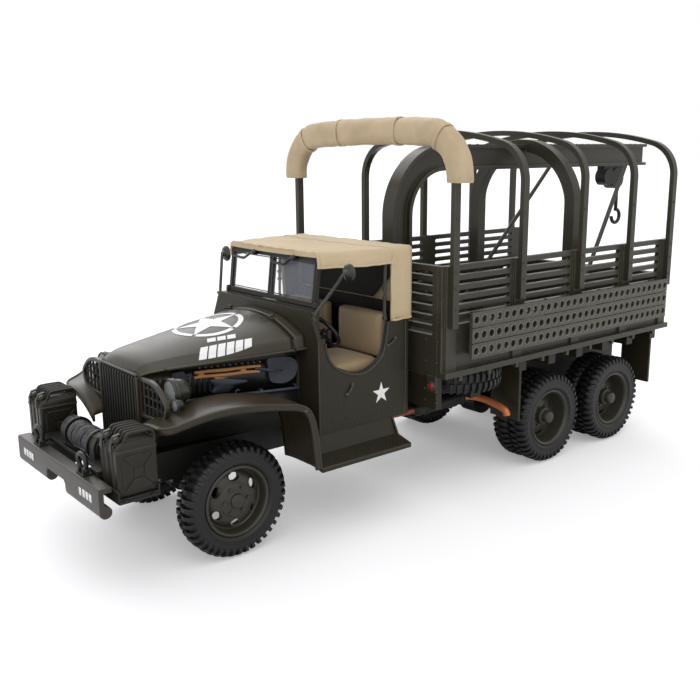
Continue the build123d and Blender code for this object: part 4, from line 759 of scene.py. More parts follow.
# profiles of (radius, distance from the outer tyre face), from the hub cap outwards and back behind
frontProfile = (
    (0.02, -0.30), (0.9, -0.30), (1.25, -0.42), (1.4, -0.62), (1.45, -0.98), (1.75, -1.02), (1.85, -1.08),
    (1.9, -1.22), (3.1, -1.24), (3.22, -1.30), (3.3, -1.42), (3.9, -1.50), (4.6, -1.72), (5.2, -2.12), (5.6, -2.5),
    (5.85, -2.3), (5.98, -1.5), (6.02, -0.9), (6.12, -0.55), (6.30, -0.34), (6.55, -0.28), (6.78, -0.42),
    (6.78, -4.7), (6.1, -4.7), (5.9, -3.1), (5.0, -2.9), (3.6, -2.3), (2.1, -2.2), (2.1, -4.6), (0.02, -4.6))
rearProfile = (
    (0.02, -0.30), (0.9, -0.30), (1.3, -0.45), (1.5, -0.75), (1.55, -1.9), (1.95, -2.05), (2.05, -2.25),
    (2.1, -3.2), (3.0, -3.28), (3.6, -3.42), (4.6, -3.75), (5.3, -4.2), (5.6, -4.3),
    (5.78, -3.9), (5.84, -1.6), (5.9, -1.1), (6.05, -0.62), (6.28, -0.36), (6.55, -0.28), (6.78, -0.42),
    (6.78, -9.1), (6.1, -9.1), (5.95, -5.0), (5.2, -4.9), (3.6, -4.4), (2.1, -4.3), (2.1, -9.0), (0.02, -9.0))


def ovalPath(centre, turn, out, run, grow=0.0):
    # hand hole outline, long way round the wheel; centre is the wheel's
    points = []
    for angle in turnsRound(20):
        long = (rimLook["holeLong"] + grow) * math.cos(angle)
        short = (rimLook["holeShort"] + grow) * math.sin(angle)
        radius, sideways = rimLook["holeRing"] + short, long
        a = radius * math.cos(turn) - sideways * math.sin(turn)
        b = radius * math.sin(turn) + sideways * math.cos(turn)
        points.append((centre[0] + a, out + run(math.hypot(a, b)), centre[2] + b))
    return points


def discDepth(profile, radius):
    # how far in the front of the disc lies at a radius
    front = [row for row in profile if row[1] > -4.5][:15]
    for (r0, d0), (r1, d1) in zip(front, front[1:]):
        if r0 <= radius <= r1:
            return between(d0, d1, (radius - r0) / max(r1 - r0, 1e-6))
    return front[-1][1]


def addRim(name, node, axle, outFace, profile, side):
    centre = (axleX[axle], 0.0, tyreLook["radius"])
    base = Shape()
    base.lathe([(radius, outFace + depth) for radius, depth in profile], centre, "y", 72, closed=True, side=side)
    piece = addPiece(name, base, "oliveRim", body=axle + "_wheelset", stands=(node,))
    holes = Shape()
    details = Shape()
    for turn in turnsRound(rimLook["holes"], 0.5):
        deep = discDepth(profile, rimLook["holeRing"])
        holes.skin([ovalPath(centre, turn, side * outFace, lambda radius: side * (deep + run))
                    for run in (rimLook["holeFront"], rimLook["holeBack"])])
        lip = ovalPath(centre, turn, side * outFace, lambda radius: side * (discDepth(profile, radius) + 0.02),
                       rimLook["lipGrow"])
        details.tube(lip, rimLook["lipBar"], 8, loop=True)
        boltTurn = turn + math.pi / rimLook["holes"]
        bolt = polar((centre[0], centre[2]), rimLook["boltRing"], math.degrees(boltTurn))
        face = outFace + discDepth(profile, rimLook["boltRing"])
        details.prism(hexagon(*bolt, rimLook["boltSize"]), side * (face - 0.1), side * (face + rimLook["boltHeight"]))
    cutPiece(piece, holes)
    addPiece(name + "_fittings", details, "oliveRim", body=axle + "_wheelset", bevel=0.04)


rimRows = (   # axle, node stem, distance of the outer tyre face from the centre plane, profile
    ("front", "front_rim_", 19.07, frontProfile),
    ("middle", "middle_rims_", 24.2, rearProfile),
    ("rear", "rear_rims_", 24.2, rearProfile),
)
for sideName, side in (("left", 1), ("right", -1)):
    for axle, stem, outFace, profile in rimRows:
        addRim(axle + "_wheel_" + sideName, stem + sideName, axle, outFace, profile, side)
print("wheels made")

hoodLook = {"noseX": 13.35, "seamX": -16.2, "cowlX": -18.6, "seamWidth": 0.28, "sheet": 0.45,
            "crease": (0.76, 0.965), "creaseDrop": (0.47, 0.60), "creaseX": (10.0, -10.0), "topPower": 2.3,
            "lipBar": 0.30, "knob": (-16.1, 7.6)}
# x, crown height, half width at the lip, lip height
hoodTable = ((13.35, 34.75, 7.6, 34.5), (12.9, 35.5, 7.85, 34.6), (12.2, 36.45, 8.3, 34.9), (11.0, 37.32, 9.2, 35.3),
             (7.7, 38.07, 10.4, 35.62), (-1.6, 39.82, 11.9, 35.75), (-10.0, 41.15, 13.45, 35.95),
             (-18.6, 42.29, 15.3, 36.3))


def hoodCrease(x):
    # the fold moves out to the side towards the cab: share of the half width, and share of the drop
    start, end = hoodLook["creaseX"]
    share = ease((start - x) / (start - end))
    return between(*hoodLook["crease"], share), between(*hoodLook["creaseDrop"], share)


def hoodPoint(x, share, lift=0.0):
    # share runs from 0 on the centre plane to 1 at the lip, and carries the side's sign
    crown, half, lip = along(hoodTable, x)
    fold = abs(share)
    crease, creaseDrop = hoodCrease(x)
    if fold < crease:
        drop = creaseDrop * (fold / crease) ** hoodLook["topPower"]
    else:
        drop = between(creaseDrop, 1.0, (fold - crease) / (1 - crease))
    return (x, share * half, crown - (crown - lip) * drop + lift)


def hoodHeight(x, y, lift=0.0):
    return hoodPoint(x, y / along(hoodTable, x)[1], lift)


def hoodSkin(shape, front, rear, steps, inset=0.0):
    # close rows of points on both sides of the fold keep it crisp
    rows = []
    for x in spaced(front, rear, steps + 1):
        crease = hoodCrease(x)[0]
        half = [crease * index / 22 for index in range(22)] + [crease - 0.012, crease]
        half += spaced(crease + 0.012, 1.0, 5)
        shares = [-share for share in reversed(half[1:])] + half
        rows.append([hoodPoint(x, share, -inset) for share in shares])
    shape.skin(rows, ring=False)


hood = Shape()
hoodSkin(hood, hoodLook["noseX"], hoodLook["seamX"] + hoodLook["seamWidth"] / 2, 44)
addPiece("hood_panel", hood, "oliveBody", stands=("hood",), sharp=50, sheet=hoodLook["sheet"])
cowlStrip = Shape()
hoodSkin(cowlStrip, hoodLook["seamX"] - hoodLook["seamWidth"] / 2, hoodLook["cowlX"], 4)
addPiece("cowl_strip", cowlStrip, "oliveBody", sharp=50, sheet=hoodLook["sheet"])
seamFloor = Shape()
hoodSkin(seamFloor, hoodLook["seamX"] + 1.0, hoodLook["seamX"] - 1.0, 2, inset=0.5)
addPiece("hood_seam_floor", seamFloor, "blackPart", sharp=50, sheet=0.3)

# rolled lip along both sides: from x, to x, steps, shift outwards, shift up, share of the bar's thickness
lipRows = ((8.6, -16.0, 24, 0.02, -0.05, 1.0), (13.0, 9.0, 8, -0.15, -0.1, 0.8), (-16.5, -18.6, 3, 0.0, -0.05, 0.9))
trim = Shape()
for start, end, steps, outward, rise, share in lipRows:
    path = [hoodPoint(x, 1, rise) for x in spaced(start, end, steps + 1)]
    trim.tube([(x, y + outward, z) for x, y, z in path], hoodLook["lipBar"] * share, 8)
trim.mirrorAcross()
addPiece("hood_lips", trim, "oliveBody")

latch = Shape()
x, y = hoodLook["knob"]
foot = hoodHeight(x, y)
latch.lathe([(0.01, -0.1), (0.34, -0.1), (0.36, 0.25), (0.24, 0.3), (0.24, 0.5), (0.44, 0.58), (0.48, 0.8), (0.3, 1.0),
             (0.01, 1.02)], foot, "z", 16)
latch.tube([(x + 0.2, y - 0.2, foot[2] + 0.15), (x + 1.4, y - 0.5, foot[2] + 0.42), (x + 2.3, y - 0.7, foot[2] + 0.4)],
           0.12, 8)
latch.mirrorAcross()
addPiece("hood_latches", latch, "oliveBody")


def patch(shape, place, a, b, steps):
    # four-cornered figure: a and b are its two long edges as (start, end)
    rows = []
    for step in range(steps + 1):
        low = [between(a[0][k], a[1][k], step / steps) for k in range(2)]
        high = [between(b[0][k], b[1][k], step / steps) for k in range(2)]
        rows.append([place(point) for point in zip(*(spaced(low[k], high[k], steps + 1) for k in range(2)))])
    shape.skin(rows, ring=False)


figureLook = {"pointDepth": 0.382, "gap": 3.2}   # inner radius of a star's point, half gap between the ring's arcs


def star(shape, place, centre, tip, turn, steps):
    for start in range(turn, turn + 360, 72):
        inner = [polar(centre, figureLook["pointDepth"] * tip, start + way) for way in (-36, 36)]
        patch(shape, place, (centre, inner[0]), (inner[1], polar(centre, tip, start)), steps)


def brokenRing(shape, place, centre, inner, outer, turn, steps):
    for start in range(turn, turn + 360, 72):
        bearings = spaced(start + figureLook["gap"], start + 72 - figureLook["gap"], steps + 1)
        shape.skin([[place(polar(centre, radius, bearing)) for radius in spaced(inner, outer, 3)]
                    for bearing in bearings], ring=False)


# white star in a ring on the hood, and plain bars beside it: corners at the front, at the rear, and how many
markLook = {"centre": (-6.0, 0.0), "ring": (6.0, 7.0), "tip": 6.55, "raise": 0.06, "barShare": (0.08, 0.92),
            "bars": (((-1.7, 6.7), (-1.1, 7.8), (-7.25, 8.4), (-6.6, 9.5), 3),
                     ((0.7, 8.5), (2.4, 10.6), (-9.2, 11.0), (-8.1, 12.6), 6))}


def onHood(point):
    return hoodHeight(point[0], point[1], markLook["raise"])


marks = Shape()
for frontTop, frontLow, rearTop, rearLow, count in markLook["bars"]:
    for index in range(count):
        shares = [(index + edge) / count for edge in markLook["barShare"]]
        corners = [[tuple(between(a[k], b[k], share) for k in range(2)) for share in shares]
                   for a, b in ((frontTop, rearTop), (frontLow, rearLow))]
        patch(marks, onHood, corners[0], corners[1], 20)
marks.mirrorAcross()
star(marks, onHood, markLook["centre"], markLook["tip"], 180, 8)
brokenRing(marks, onHood, markLook["centre"], *markLook["ring"], 180, 18)
addPiece("hood_figures", marks, "whiteMark", sharp=60)

fenderLook = {"front": 15.5, "sheet": 0.45, "flange": 1.15, "frontCorner": 2.2, "crownIn": 1.5, "crownOut": 0.28,
              "edgeBar": 0.22, "upright": 27.5, "flare": 0.12}   # below the upright height the sheet looks to the rear
# how far out the edge runs, by x
fenderEdge = ((15.5, 20.9), (13.0, 21.5), (11.7, 21.95), (9.8, 22.7), (6.3, 23.7), (3.0, 24.4), (0.0, 24.8),
              (-16.0, 24.8))
# the fender from the side, (x, z) from its front tip over the wheel and down to the running board
fenderLine = ((15.5, 28.0), (15.2, 28.3), (13.6, 28.6), (11.8, 29.1), (9.8, 29.8), (6.6, 30.55), (3.2, 30.85),
              (-1.2, 30.6), (-7.6, 29.5), (-10.2, 28.75), (-11.9, 27.7), (-13.0, 26.1), (-13.7, 24.0),
              (-14.15, 21.5), (-14.5, 18.5), (-14.8, 15.3))


def bayHalf(x):
    # half width of the engine bay
    return between(7.6, 13.2, min(max((13.1 - x) / 31.7, 0), 1))


def fenderPoint(x, z, share, grow=0.0):
    # share 0 at the engine bay, 1 at the outer edge, whose front corner is round
    corner = fenderLook["frontCorner"]
    cut = max(0.0, x - (fenderLook["front"] - corner))
    inset = corner - math.sqrt(max(corner ** 2 - cut ** 2, 0))
    outer = along(fenderEdge, x)[0] + grow - 0.9 * inset
    inner = bayHalf(x) if z > fenderLook["upright"] else between(13.8, bayHalf(x), ease((z - 24) / 3.5))
    y = between(inner, outer, share)
    low = fenderLook["crownIn"] * max(0.0, (17.2 - y) / 6.0) ** 2
    low += fenderLook["crownOut"] * max(0.0, (y - 21.0) / 3.8) ** 2
    if z > fenderLook["upright"]:
        return (x, y, z - low)
    return (x + low, y, z)


fenders = Shape()
fenderRows = smoothPath(fenderLine, 5)
rows = []
flare = fenderLook["flare"]
for x, z in fenderRows:
    row = [fenderPoint(x, z, share) for share in spaced(0, 1, 17)]
    edgeX, edgeY, edgeZ = row[-1]
    for drop in (flare, fenderLook["flange"]):
        row.append((edgeX, edgeY + flare, edgeZ - drop) if z > fenderLook["upright"]
                   else (edgeX + drop, edgeY + flare, edgeZ))
    rows.append(row)
rows.insert(0, [(x + 0.05, y, z - fenderLook["flange"]) for x, y, z in rows[0]])
fenders.skin(rows, ring=False)
fenders.mirrorAcross()
addPiece("front_fender_skins", fenders, "oliveBody", stands=("front_fenders",), sharp=40, sheet=fenderLook["sheet"])
beads = Shape()
edgePath = [fenderPoint(x, z, 1.0, 0.1) for x, z in fenderRows]
frontPath = [fenderPoint(*fenderRows[0], step / 10, 0.1) for step in range(10)]
beads.tube(frontPath + edgePath, fenderLook["edgeBar"], 8)
beads.mirrorAcross()
addPiece("front_fender_beads", beads, "oliveBody")
print("hood and fenders made")

topLook = {"front": -21.7, "rear": -42.6, "frontHalf": 15.5, "rearHalf": 18.95, "wideFrom": -31.0, "top": 54.4,
           "valance": 51.5, "curtainFront": -37.6, "foot": 39.7, "corner": 1.3, "sheet": 0.45, "sag": 0.35,
           "sagLength": 21.7, "roofFrom": 53.0, "darkSheet": 0.75, "hemBar": 0.27, "sideHemBar": 0.22, "seamBar": 0.17,
           "seams": (-37.75, -40.9), "footHemBar": 0.24}


def canvasNoise(x, y, z):
    # soft creases, the same every run
    return (0.10 * math.sin(0.9 * x + 0.35 * y + 1.3) * math.sin(0.31 * y - 0.21 * x)
            + 0.07 * math.sin(1.7 * y + 0.5 * x) * math.sin(0.8 * x + 0.4) + 0.05 * math.sin(2.3 * z + 1.1 * x))


def topHalf(x):
    # the top is as wide as the screen in front and as wide as the cab behind
    share = (topLook["front"] - x) / (topLook["front"] - topLook["wideFrom"])
    return between(topLook["frontHalf"], topLook["rearHalf"], ease(share) * 0.35 + 0.65 * min(max(share, 0), 1))


def topSection(x, foot):
    # half section from the middle of the roof, round the corner and down the side: (y, z)
    half = topHalf(x)
    corner = topLook["corner"]
    sag = topLook["sag"] * math.sin(math.pi * min(max((x - topLook["rear"]) / topLook["sagLength"], 0), 1))
    section = [((half - corner) * step / 14, topLook["top"] - sag * (1 - (step / 14) ** 2)) for step in range(15)]
    section += [(half - corner + a, topLook["top"] - corner + b)
                for a, b in roundArc((0, 0), corner, 90, 0, 6)[1:]]
    count = 10
    section += [(half + 0.10 * math.sin(3 * step / count), between(topLook["top"] - corner, foot, step / count))
                for step in range(1, count + 1)]
    return section


def topRow(x, foot, grow=0.0):
    half = topSection(x, foot)
    row = []
    for y, z in [(-y, z) for y, z in reversed(half)] + half[1:]:
        crease = canvasNoise(x, y, z) + grow
        row.append((x, y, z + crease) if z > topLook["roofFrom"] else (x, y + math.copysign(crease, y), z))
    return row


canvasTop = Shape()
canvasTop.skin([topRow(x, topLook["valance"]) for x in spaced(topLook["front"], topLook["curtainFront"], 23)],
               ring=False)
flapRows = [topRow(x, topLook["foot"], 0.12) for x in spaced(topLook["curtainFront"] + 0.3, topLook["rear"], 13)]
canvasTop.skin(flapRows, ring=False)
# the rear curtain closes the end
topLine = [point for point in flapRows[-1] if point[2] > 52.5]
back = [[(x + canvasNoise(z, y, x) * 0.6, y, between(z, topLook["foot"], level / 12)) for x, y, z in topLine]
        for level in range(13)]
canvasTop.skin(back, ring=False)
addPiece("canvas_top_cover", canvasTop, "canvasTan", stands=("canvas_top",), sharp=60, sheet=topLook["sheet"])

# front hem and lip, and on each side the hem under the valance, the flap's seams and its foot hem
hems = Shape()
frontRow = topRow(topLook["front"], topLook["valance"])
hems.tube([(topLook["front"] + 0.05, y * 1.002, z - 0.1) for x, y, z in frontRow], topLook["hemBar"], 8)
lipHalf = topLook["frontHalf"] - 0.3
hems.strip([(topLook["front"] + 0.15, between(-lipHalf, lipHalf, step / 24),
             topLook["top"] - 0.55 - 0.2 * math.sin(math.pi * step / 24)) for step in range(25)], (1, 0, 0), 0.8, 0.3)
sideHems = Shape()
sideHems.tube([(x, topHalf(x) + 0.08, topLook["valance"] + 0.04 * math.sin(x * 1.7))
               for x in spaced(topLook["front"], topLook["curtainFront"], 15)], topLook["sideHemBar"], 8)
for seamX in topLook["seams"]:
    sideHems.tube([(seamX + 0.5 * math.sin(step * 0.35), topLook["rearHalf"] + 0.16,
                    between(topLook["roofFrom"], topLook["foot"] + 0.2, step / 10)) for step in range(11)],
                  topLook["seamBar"], 6)
sideHems.tube([(between(topLook["curtainFront"] + 0.2, topLook["rear"], step / 6), topLook["rearHalf"] + 0.2,
                topLook["foot"] + 0.25 - 0.15 * math.sin(step)) for step in range(7)], topLook["footHemBar"], 8)
sideHems.mirrorAcross()
hems.add(sideHems.points, sideHems.faces)
addPiece("canvas_top_hems", hems, "canvasTan")
# the dark underside: from x, to x, foot
underRows = ((topLook["front"] - 0.9, topLook["curtainFront"] + 0.2, topLook["valance"] + 0.3),
             (topLook["curtainFront"] - 0.1, topLook["rear"] + 0.9, topLook["foot"] + 0.5))
underside = Shape()
deep = topLook["darkSheet"]
for front, rear, foot in underRows:
    underside.skin([[(x, y - math.copysign(deep, y), z - deep if z > 52.7 else z)
                     for x, y, z in topRow(place, foot) if abs(y) > 0.8]
                    for place in spaced(front, rear, 9)], ring=False)
addPiece("canvas_top_underside", underside, "cabDarkSheet", sharp=60, sheet=0.1)

# the cover is rolled up over the first bow
rollLook = {"x": -48.0, "foot": 67.0, "half": 29.9, "top": 80.15, "corner": 12.0, "thick": 5.6, "width": 4.2,
            "count": 150, "folds": 0.146, "pinch": 0.07, "endSize": 0.96, "strapY": (9.6, 22.0), "strapSize": 0.98,
            "strapHalf": 0.45, "strapThick": 0.22}


def rollPath(count):
    # middle line of the roll in (y, z) with its outward direction
    half = rollLook["half"] - rollLook["thick"] / 2
    top = rollLook["top"] - rollLook["thick"] / 2
    corner = rollLook["corner"] - rollLook["thick"] / 2
    line = [(half, z) for z in (rollLook["foot"], rollLook["foot"] + 0.5)]
    line += roundArc((half - corner, top - corner - 0.5), corner, 0, 84, 14)
    start = line[-1]
    line += [(start[0] * (1 - step / 10), start[1] + (top - start[1]) * math.sin(math.pi / 2 * step / 10))
             for step in range(1, 11)]
    full = line + [(-y, z) for y, z in reversed(line[:-1])]
    return resample(full, count)


def rollFolds(place, turn):
    # place 0..1 along the roll, turn round its section
    long = 0.16 * math.sin(3 * turn + 2.0 * math.sin(6.3 * place)) + 0.09 * math.sin(7 * turn + 9 * place)
    across = 0.15 * math.sin(58 * place + 2.4 * math.sin(turn) + 1.5) * (0.4 + 0.6 * math.sin(8 * place) ** 2)
    fine = 0.07 * math.sin(131 * place + 3 * turn) * math.sin(17 * place)
    return long + across + fine


def rollEdge(turn, outward):
    # the roll's section is a round with flattened sides
    wide = math.copysign(abs(math.cos(turn)) ** 0.75, math.cos(turn))
    deep = math.copysign(abs(math.sin(turn)) ** 0.85, math.sin(turn))
    return Vector((1, 0, 0)) * (wide * rollLook["width"] / 2) + outward * (deep * rollLook["thick"] / 2)


def rollDirections(index):
    # along the roll and away from the truck
    before, after = middle[max(index - 1, 0)], middle[min(index + 1, rollLook["count"] - 1)]
    run = Vector((0, after[0] - before[0], after[1] - before[1])).normalized()
    return run, Vector((1, 0, 0)).cross(run)


rollShape = Shape()
middle = rollPath(rollLook["count"])
last = rollLook["count"] - 1
rows = []
for index, (y, z) in enumerate(middle):
    outward = rollDirections(index)[1]
    if outward.dot(Vector((0, y, z - 55))) < 0:
        outward = -outward
    size = rollLook["endSize"] if index in (0, last) else 1.0
    size *= 1 - rollLook["pinch"] * sum(math.exp(-(y - side * strap) ** 2)
                                        for strap in rollLook["strapY"] for side in (1, -1))
    rows.append([Vector((rollLook["x"], y, z))
                 + rollEdge(turn, outward) * size * (1 + rollLook["folds"] * rollFolds(index / last, turn))
                 for turn in turnsRound(28)])
rollShape.skin(rows)
addPiece("canvas_roll_cover", rollShape, "rollTan", stands=("canvas_roll",), sharp=70)

straps = Shape()
for strap in [side * place for place in rollLook["strapY"] for side in (1, -1)]:
    index = min((i for i in range(last + 1) if middle[i][1] > 70), key=lambda i: abs(middle[i][0] - strap))
    run, outward = rollDirections(index)
    across = run * rollLook["strapHalf"]
    rows = []
    for turn in turnsRound(24):
        out = rollEdge(turn, outward) * rollLook["strapSize"]
        here = Vector((rollLook["x"], *middle[index])) + out
        lift = out.normalized() * rollLook["strapThick"]
        rows.append([here - across, here + across, here + across + lift, here - across + lift])
    straps.skin(rows, loop=True)
addPiece("canvas_roll_straps", straps, "rollTan")

seatLook = {"rear": -39.2, "front": -25.0, "inner": 2.2, "outer": 16.4, "low": 28.8, "top": 32.0, "backTop": 41.0,
            "backDepth": 2.8, "crown": 0.45, "edgeDrop": 0.55}


def cushion(shape, low, high, up, crown, steps=14):
    # crowned pad; up is the index of the axis it is thickest along, its top faces the positive side
    flat = [axis for axis in range(3) if axis != up]

    def pad(u, v, top):
        # u and v from -1 to 1 across the pad
        edge = 1 - max(abs(u), abs(v)) ** 6
        height = crown * (1 - u * u) * (1 - v * v) + seatLook["edgeDrop"] * (edge ** 0.5 - 1)
        squeeze = 1 - 0.03 * (abs(u) * abs(v)) ** 4
        point = [0.0, 0.0, 0.0]
        for axis, value in zip(flat, (u, v)):
            point[axis] = (low[axis] + high[axis]) / 2 + value * squeeze * (high[axis] - low[axis]) / 2
        point[up] = (high[up] + height) if top else (low[up] - 0.2 * height)
        return tuple(point)

    marks = spaced(-1, 1, steps + 1)
    for top in (True, False):
        shape.skin([[pad(u, v, top) for v in marks] for u in marks], ring=False)
    border = ([(u, -1) for u in marks] + [(1, v) for v in marks[1:]] + [(u, 1) for u in reversed(marks[:-1])]
              + [(-1, v) for v in reversed(marks[1:-1])])
    shape.skin([[pad(u, v, True) for u, v in border], [pad(u, v, False) for u, v in border]], caps=False)


seats = Shape()
cushion(seats, (seatLook["rear"] + seatLook["backDepth"] - 0.3, seatLook["inner"], seatLook["low"]),
        (seatLook["front"], seatLook["outer"], seatLook["top"]), 2, seatLook["crown"])
cushion(seats, (seatLook["rear"], seatLook["inner"], seatLook["top"] - 0.6),
        (seatLook["rear"] + seatLook["backDepth"], seatLook["outer"], seatLook["backTop"]), 0, seatLook["crown"])
seats.mirrorAcross()
addPiece("seat_pads", seats, "seatTan", stands=("seats",), level=1)
print("canvas and seats made")

bumperLook = {"back": 24.0, "front": 26.36, "top": 19.96, "half": 18.72, "lipZ": 15.72, "lipRadius": 1.1,
              "sheet": 0.9, "round": 0.4,
              "notch": ((-4.7, 13.5), (-4.25, 16.9), (-3.7, 17.4), (3.7, 17.4), (4.25, 16.9), (4.7, 13.5))}
barFront, barTop, sheet, rounding = (bumperLook[key] for key in ("front", "top", "sheet", "round"))
profile = [(bumperLook["back"], barTop), (barFront - rounding, barTop)]
profile += roundArc((barFront - rounding, barTop - rounding), rounding, 90, 0, 5)[1:]
profile += roundArc((barFront - bumperLook["lipRadius"], bumperLook["lipZ"]), bumperLook["lipRadius"], 0, -225, 14)
profile += [(barFront - sheet, 17.0), (barFront - sheet, barTop - sheet), (bumperLook["back"], barTop - sheet)]
bumper = Shape()
bumper.prism(profile, -bumperLook["half"], bumperLook["half"])
bumperPiece = addPiece("front_bumper_channel", bumper, "oliveBumper", stands=("front_bumper",))
notch = Shape()
notch.prism(bumperLook["notch"], 20.0, 30.0, "x")
cutPiece(bumperPiece, notch)

shackleLook = {"x": 25.1, "y": 10.0, "pinRise": 0.95, "pin": 0.27, "pinHalf": 1.75, "nut": 0.42, "earOut": 0.95,
               "earHalf": 0.24, "ringBar": 0.44, "bolts": ((-1.5, 0.55), (-2.9, 0.0), (-1.5, -0.55)),
               # half of the ring, forwards, sideways and up from its pin
               "ring": ((0, 0.5, 0), (0, 1.05, 0.15), (0.05, 1.52, 0.95), (0.1, 1.45, 1.9), (0.15, 0.8, 2.55))}
x, y = shackleLook["x"], shackleLook["y"]
pinZ = barTop + shackleLook["pinRise"]
shackles = Shape()
shackles.box((x - 1.0, y - 1.5, barTop), (x + 0.75, y + 1.5, barTop + 0.35))
shackles.box((x - 3.6, y - 0.9, barTop), (x - 1.0, y + 0.9, barTop + 0.3))
for ear in (-1, 1):
    outline = [(x - 0.62, barTop + 0.3), (x + 0.62, barTop + 0.3)] + roundArc((x, pinZ), 0.55, 0, 180, 8)
    earY = y + ear * shackleLook["earOut"]
    shackles.prism(outline, earY - shackleLook["earHalf"], earY + shackleLook["earHalf"])
shackles.tube([(x, y - shackleLook["pinHalf"], pinZ), (x, y + shackleLook["pinHalf"], pinZ)], shackleLook["pin"], 10)
for boltX, boltY in shackleLook["bolts"]:
    shackles.lathe([(0.01, 0.62), (0.22, 0.6), (0.3, 0.48), (0.32, 0.25)], (x + boltX, y + boltY, barTop), "z", 10)
rings = Shape()
half = [(x + ahead, y + out, pinZ + rise) for ahead, out, rise in shackleLook["ring"]]
loop = [(a, 2 * y - b, c) for a, b, c in half] + [(x + 0.15, y, pinZ + 2.7)] + half[::-1]
rings.tube(smoothPath(loop, 5), shackleLook["ringBar"], 12)
mirrorAll(shackles, rings)
for nutY in [side * y + end for side in (1, -1) for end in (-1.75, 1.55)]:
    shackles.prism(hexagon(x, pinZ, shackleLook["nut"]), nutY, nutY + 0.22)
addPiece("shackle_brackets", shackles, "oliveChassis", bevel=0.05)
addPiece("tow_shackles", rings, "blackPart")

blockLook = {"count": 4, "from": 10.7, "pitch": 1.35, "width": 1.0, "z": (16.85, 18.25), "lift": 0.03}
marks = Shape()
face = barFront + blockLook["lift"]
for index in range(blockLook["count"]):      # plain blocks in a row near each end of the bumper
    low = blockLook["from"] + blockLook["pitch"] * index
    marks.skin([[(face, y, z) for z in blockLook["z"]] for y in (low, low + blockLook["width"])], ring=False)
marks.mirrorAcross()
addPiece("bumper_marks", marks, "whiteMark", sheet=0.04)
print("bumper made")

winchLook = {"x": 19.6, "z": 22.6, "half": 5.2, "flange": 2.9, "core": 2.05, "rope": 0.22, "layer": 2.2, "turns": 17,
             "ridges": 32, "ridge": 0.08, "layers": ((0.0, 1), (2.1, -1), (4.2, 1)), "coverZ": 22.8, "coverOut": 2.27,
             "coverSizes": (2.05, 1.1), "coverThick": (0.35, 0.75), "nutRing": 1.6, "nut": 0.22}
reelCentre = (winchLook["x"], 0.0, winchLook["z"])
reel = Shape()
outer, inner, flange = winchLook["half"], winchLook["half"] - 0.62, winchLook["flange"]
reel.lathe([(0.02, outer), (0.7, outer), (0.8, outer - 0.1), (2.1, outer - 0.16), (2.35, outer - 0.02),
            (flange - 0.15, outer), (flange, outer - 0.12), (flange, inner + 0.12), (flange - 0.15, inner),
            (2.0, inner + 0.1)], reelCentre)
reel.mirrorAcross()
addPiece("winch_reel", reel, "blackPart", stands=("winch_drum",))

rope = Shape()
ropeHalf = winchLook["half"] - 0.75
coreRadius, ridgeWidth = winchLook["core"], 2 * ropeHalf / winchLook["ridges"]
core = [(0.02, -ropeHalf), (coreRadius, -ropeHalf)]
for index in range(winchLook["ridges"]):
    low = -ropeHalf + ridgeWidth * index
    core += [(coreRadius + winchLook["ridge"] * math.sin(math.pi * part / 4), low + ridgeWidth * part / 4)
             for part in range(1, 5)]
rope.lathe(core + [(0.02, ropeHalf)], reelCentre, "y", 40)
ropeSteps = winchLook["turns"] * 20
for start, way in winchLook["layers"]:
    spiral = []
    for step in range(ropeSteps + 1):
        turn = start + 2 * math.pi * step / 20
        run = way * (ropeHalf - 0.2) * math.sin(math.pi * (3 * step / ropeSteps - 0.5))
        lift = winchLook["layer"] + 0.10 * math.sin(turn * 0.37 + start)
        spiral.append((reelCentre[0] + lift * math.cos(turn), run, reelCentre[2] + lift * math.sin(turn)))
    rope.tube(spiral, winchLook["rope"], 6)
addPiece("winch_rope", rope, "ropeSteel", sharp=50)

winchTrim = Shape()
coverY = winchLook["half"] + winchLook["coverOut"]
for radius, thick in zip(winchLook["coverSizes"], winchLook["coverThick"]):
    disc = [polar((winchLook["x"], winchLook["coverZ"]), radius, 15 * step) for step in range(24)]
    winchTrim.prism(disc, coverY - 0.05, coverY + thick)
face = coverY + winchLook["coverThick"][0]
for index in range(6):
    place = polar((winchLook["x"], winchLook["coverZ"]), winchLook["nutRing"], 60 * index + 30)
    winchTrim.prism(hexagon(*place, winchLook["nut"]), face - 0.05, face + 0.2)
for rib in (-1.5, 0.0, 1.5):
    x, drop = winchLook["x"] + rib, abs(rib) * 0.42
    winchTrim.box((x - 0.15, 5.4, 24.6 - drop), (x + 0.15, 7.2, 25.45 - drop))
winchTrim.mirrorAcross()
addPiece("winch_gear_covers", winchTrim, "oliveChassis", bevel=0.06)

# a short length of chain lies behind the reel
chainLook = {"links": 7, "x": 15.0, "y": -4.2, "z": 21.75, "pitch": 1.05, "bar": 0.17, "halfWidth": 0.36,
             "halfLength": 0.48, "straight": 0.22}
chain = Shape()
for index in range(chainLook["links"]):
    place = Vector((chainLook["x"] + 0.25 * math.sin(index * 1.9), chainLook["y"] + chainLook["pitch"] * index,
                    chainLook["z"] + 0.5 * abs(math.sin(index * 0.8))))
    lean = Vector((0.25, 1, 0.35 * math.cos(index * 0.8))).normalized()
    cross = lean.cross(Vector((0, 0, 1)) if index % 2 else Vector((1, 0, 0))).normalized()
    link = []
    for turn in turnsRound(14, 0.5):
        reach = chainLook["halfLength"] * math.cos(turn) + math.copysign(chainLook["straight"], math.cos(turn))
        link.append(place + lean * reach + cross * chainLook["halfWidth"] * math.sin(turn))
    chain.tube(link, chainLook["bar"], 8, loop=True)
addPiece("tow_chain", chain, "blackPart")
print("winch made")

canLook = {"rear": 16.1, "front": 23.4, "insides": (13.3, 16.85), "wide": 3.15, "corner": 0.5, "seam": 0.26,
           "seamTop": 26.4, "rib": 0.17, "panel": (0.75, 18.8, 25.1), "squareHalf": 0.95, "bar": 0.30,
           "handleOut": 0.40, "capEar": 0.66}
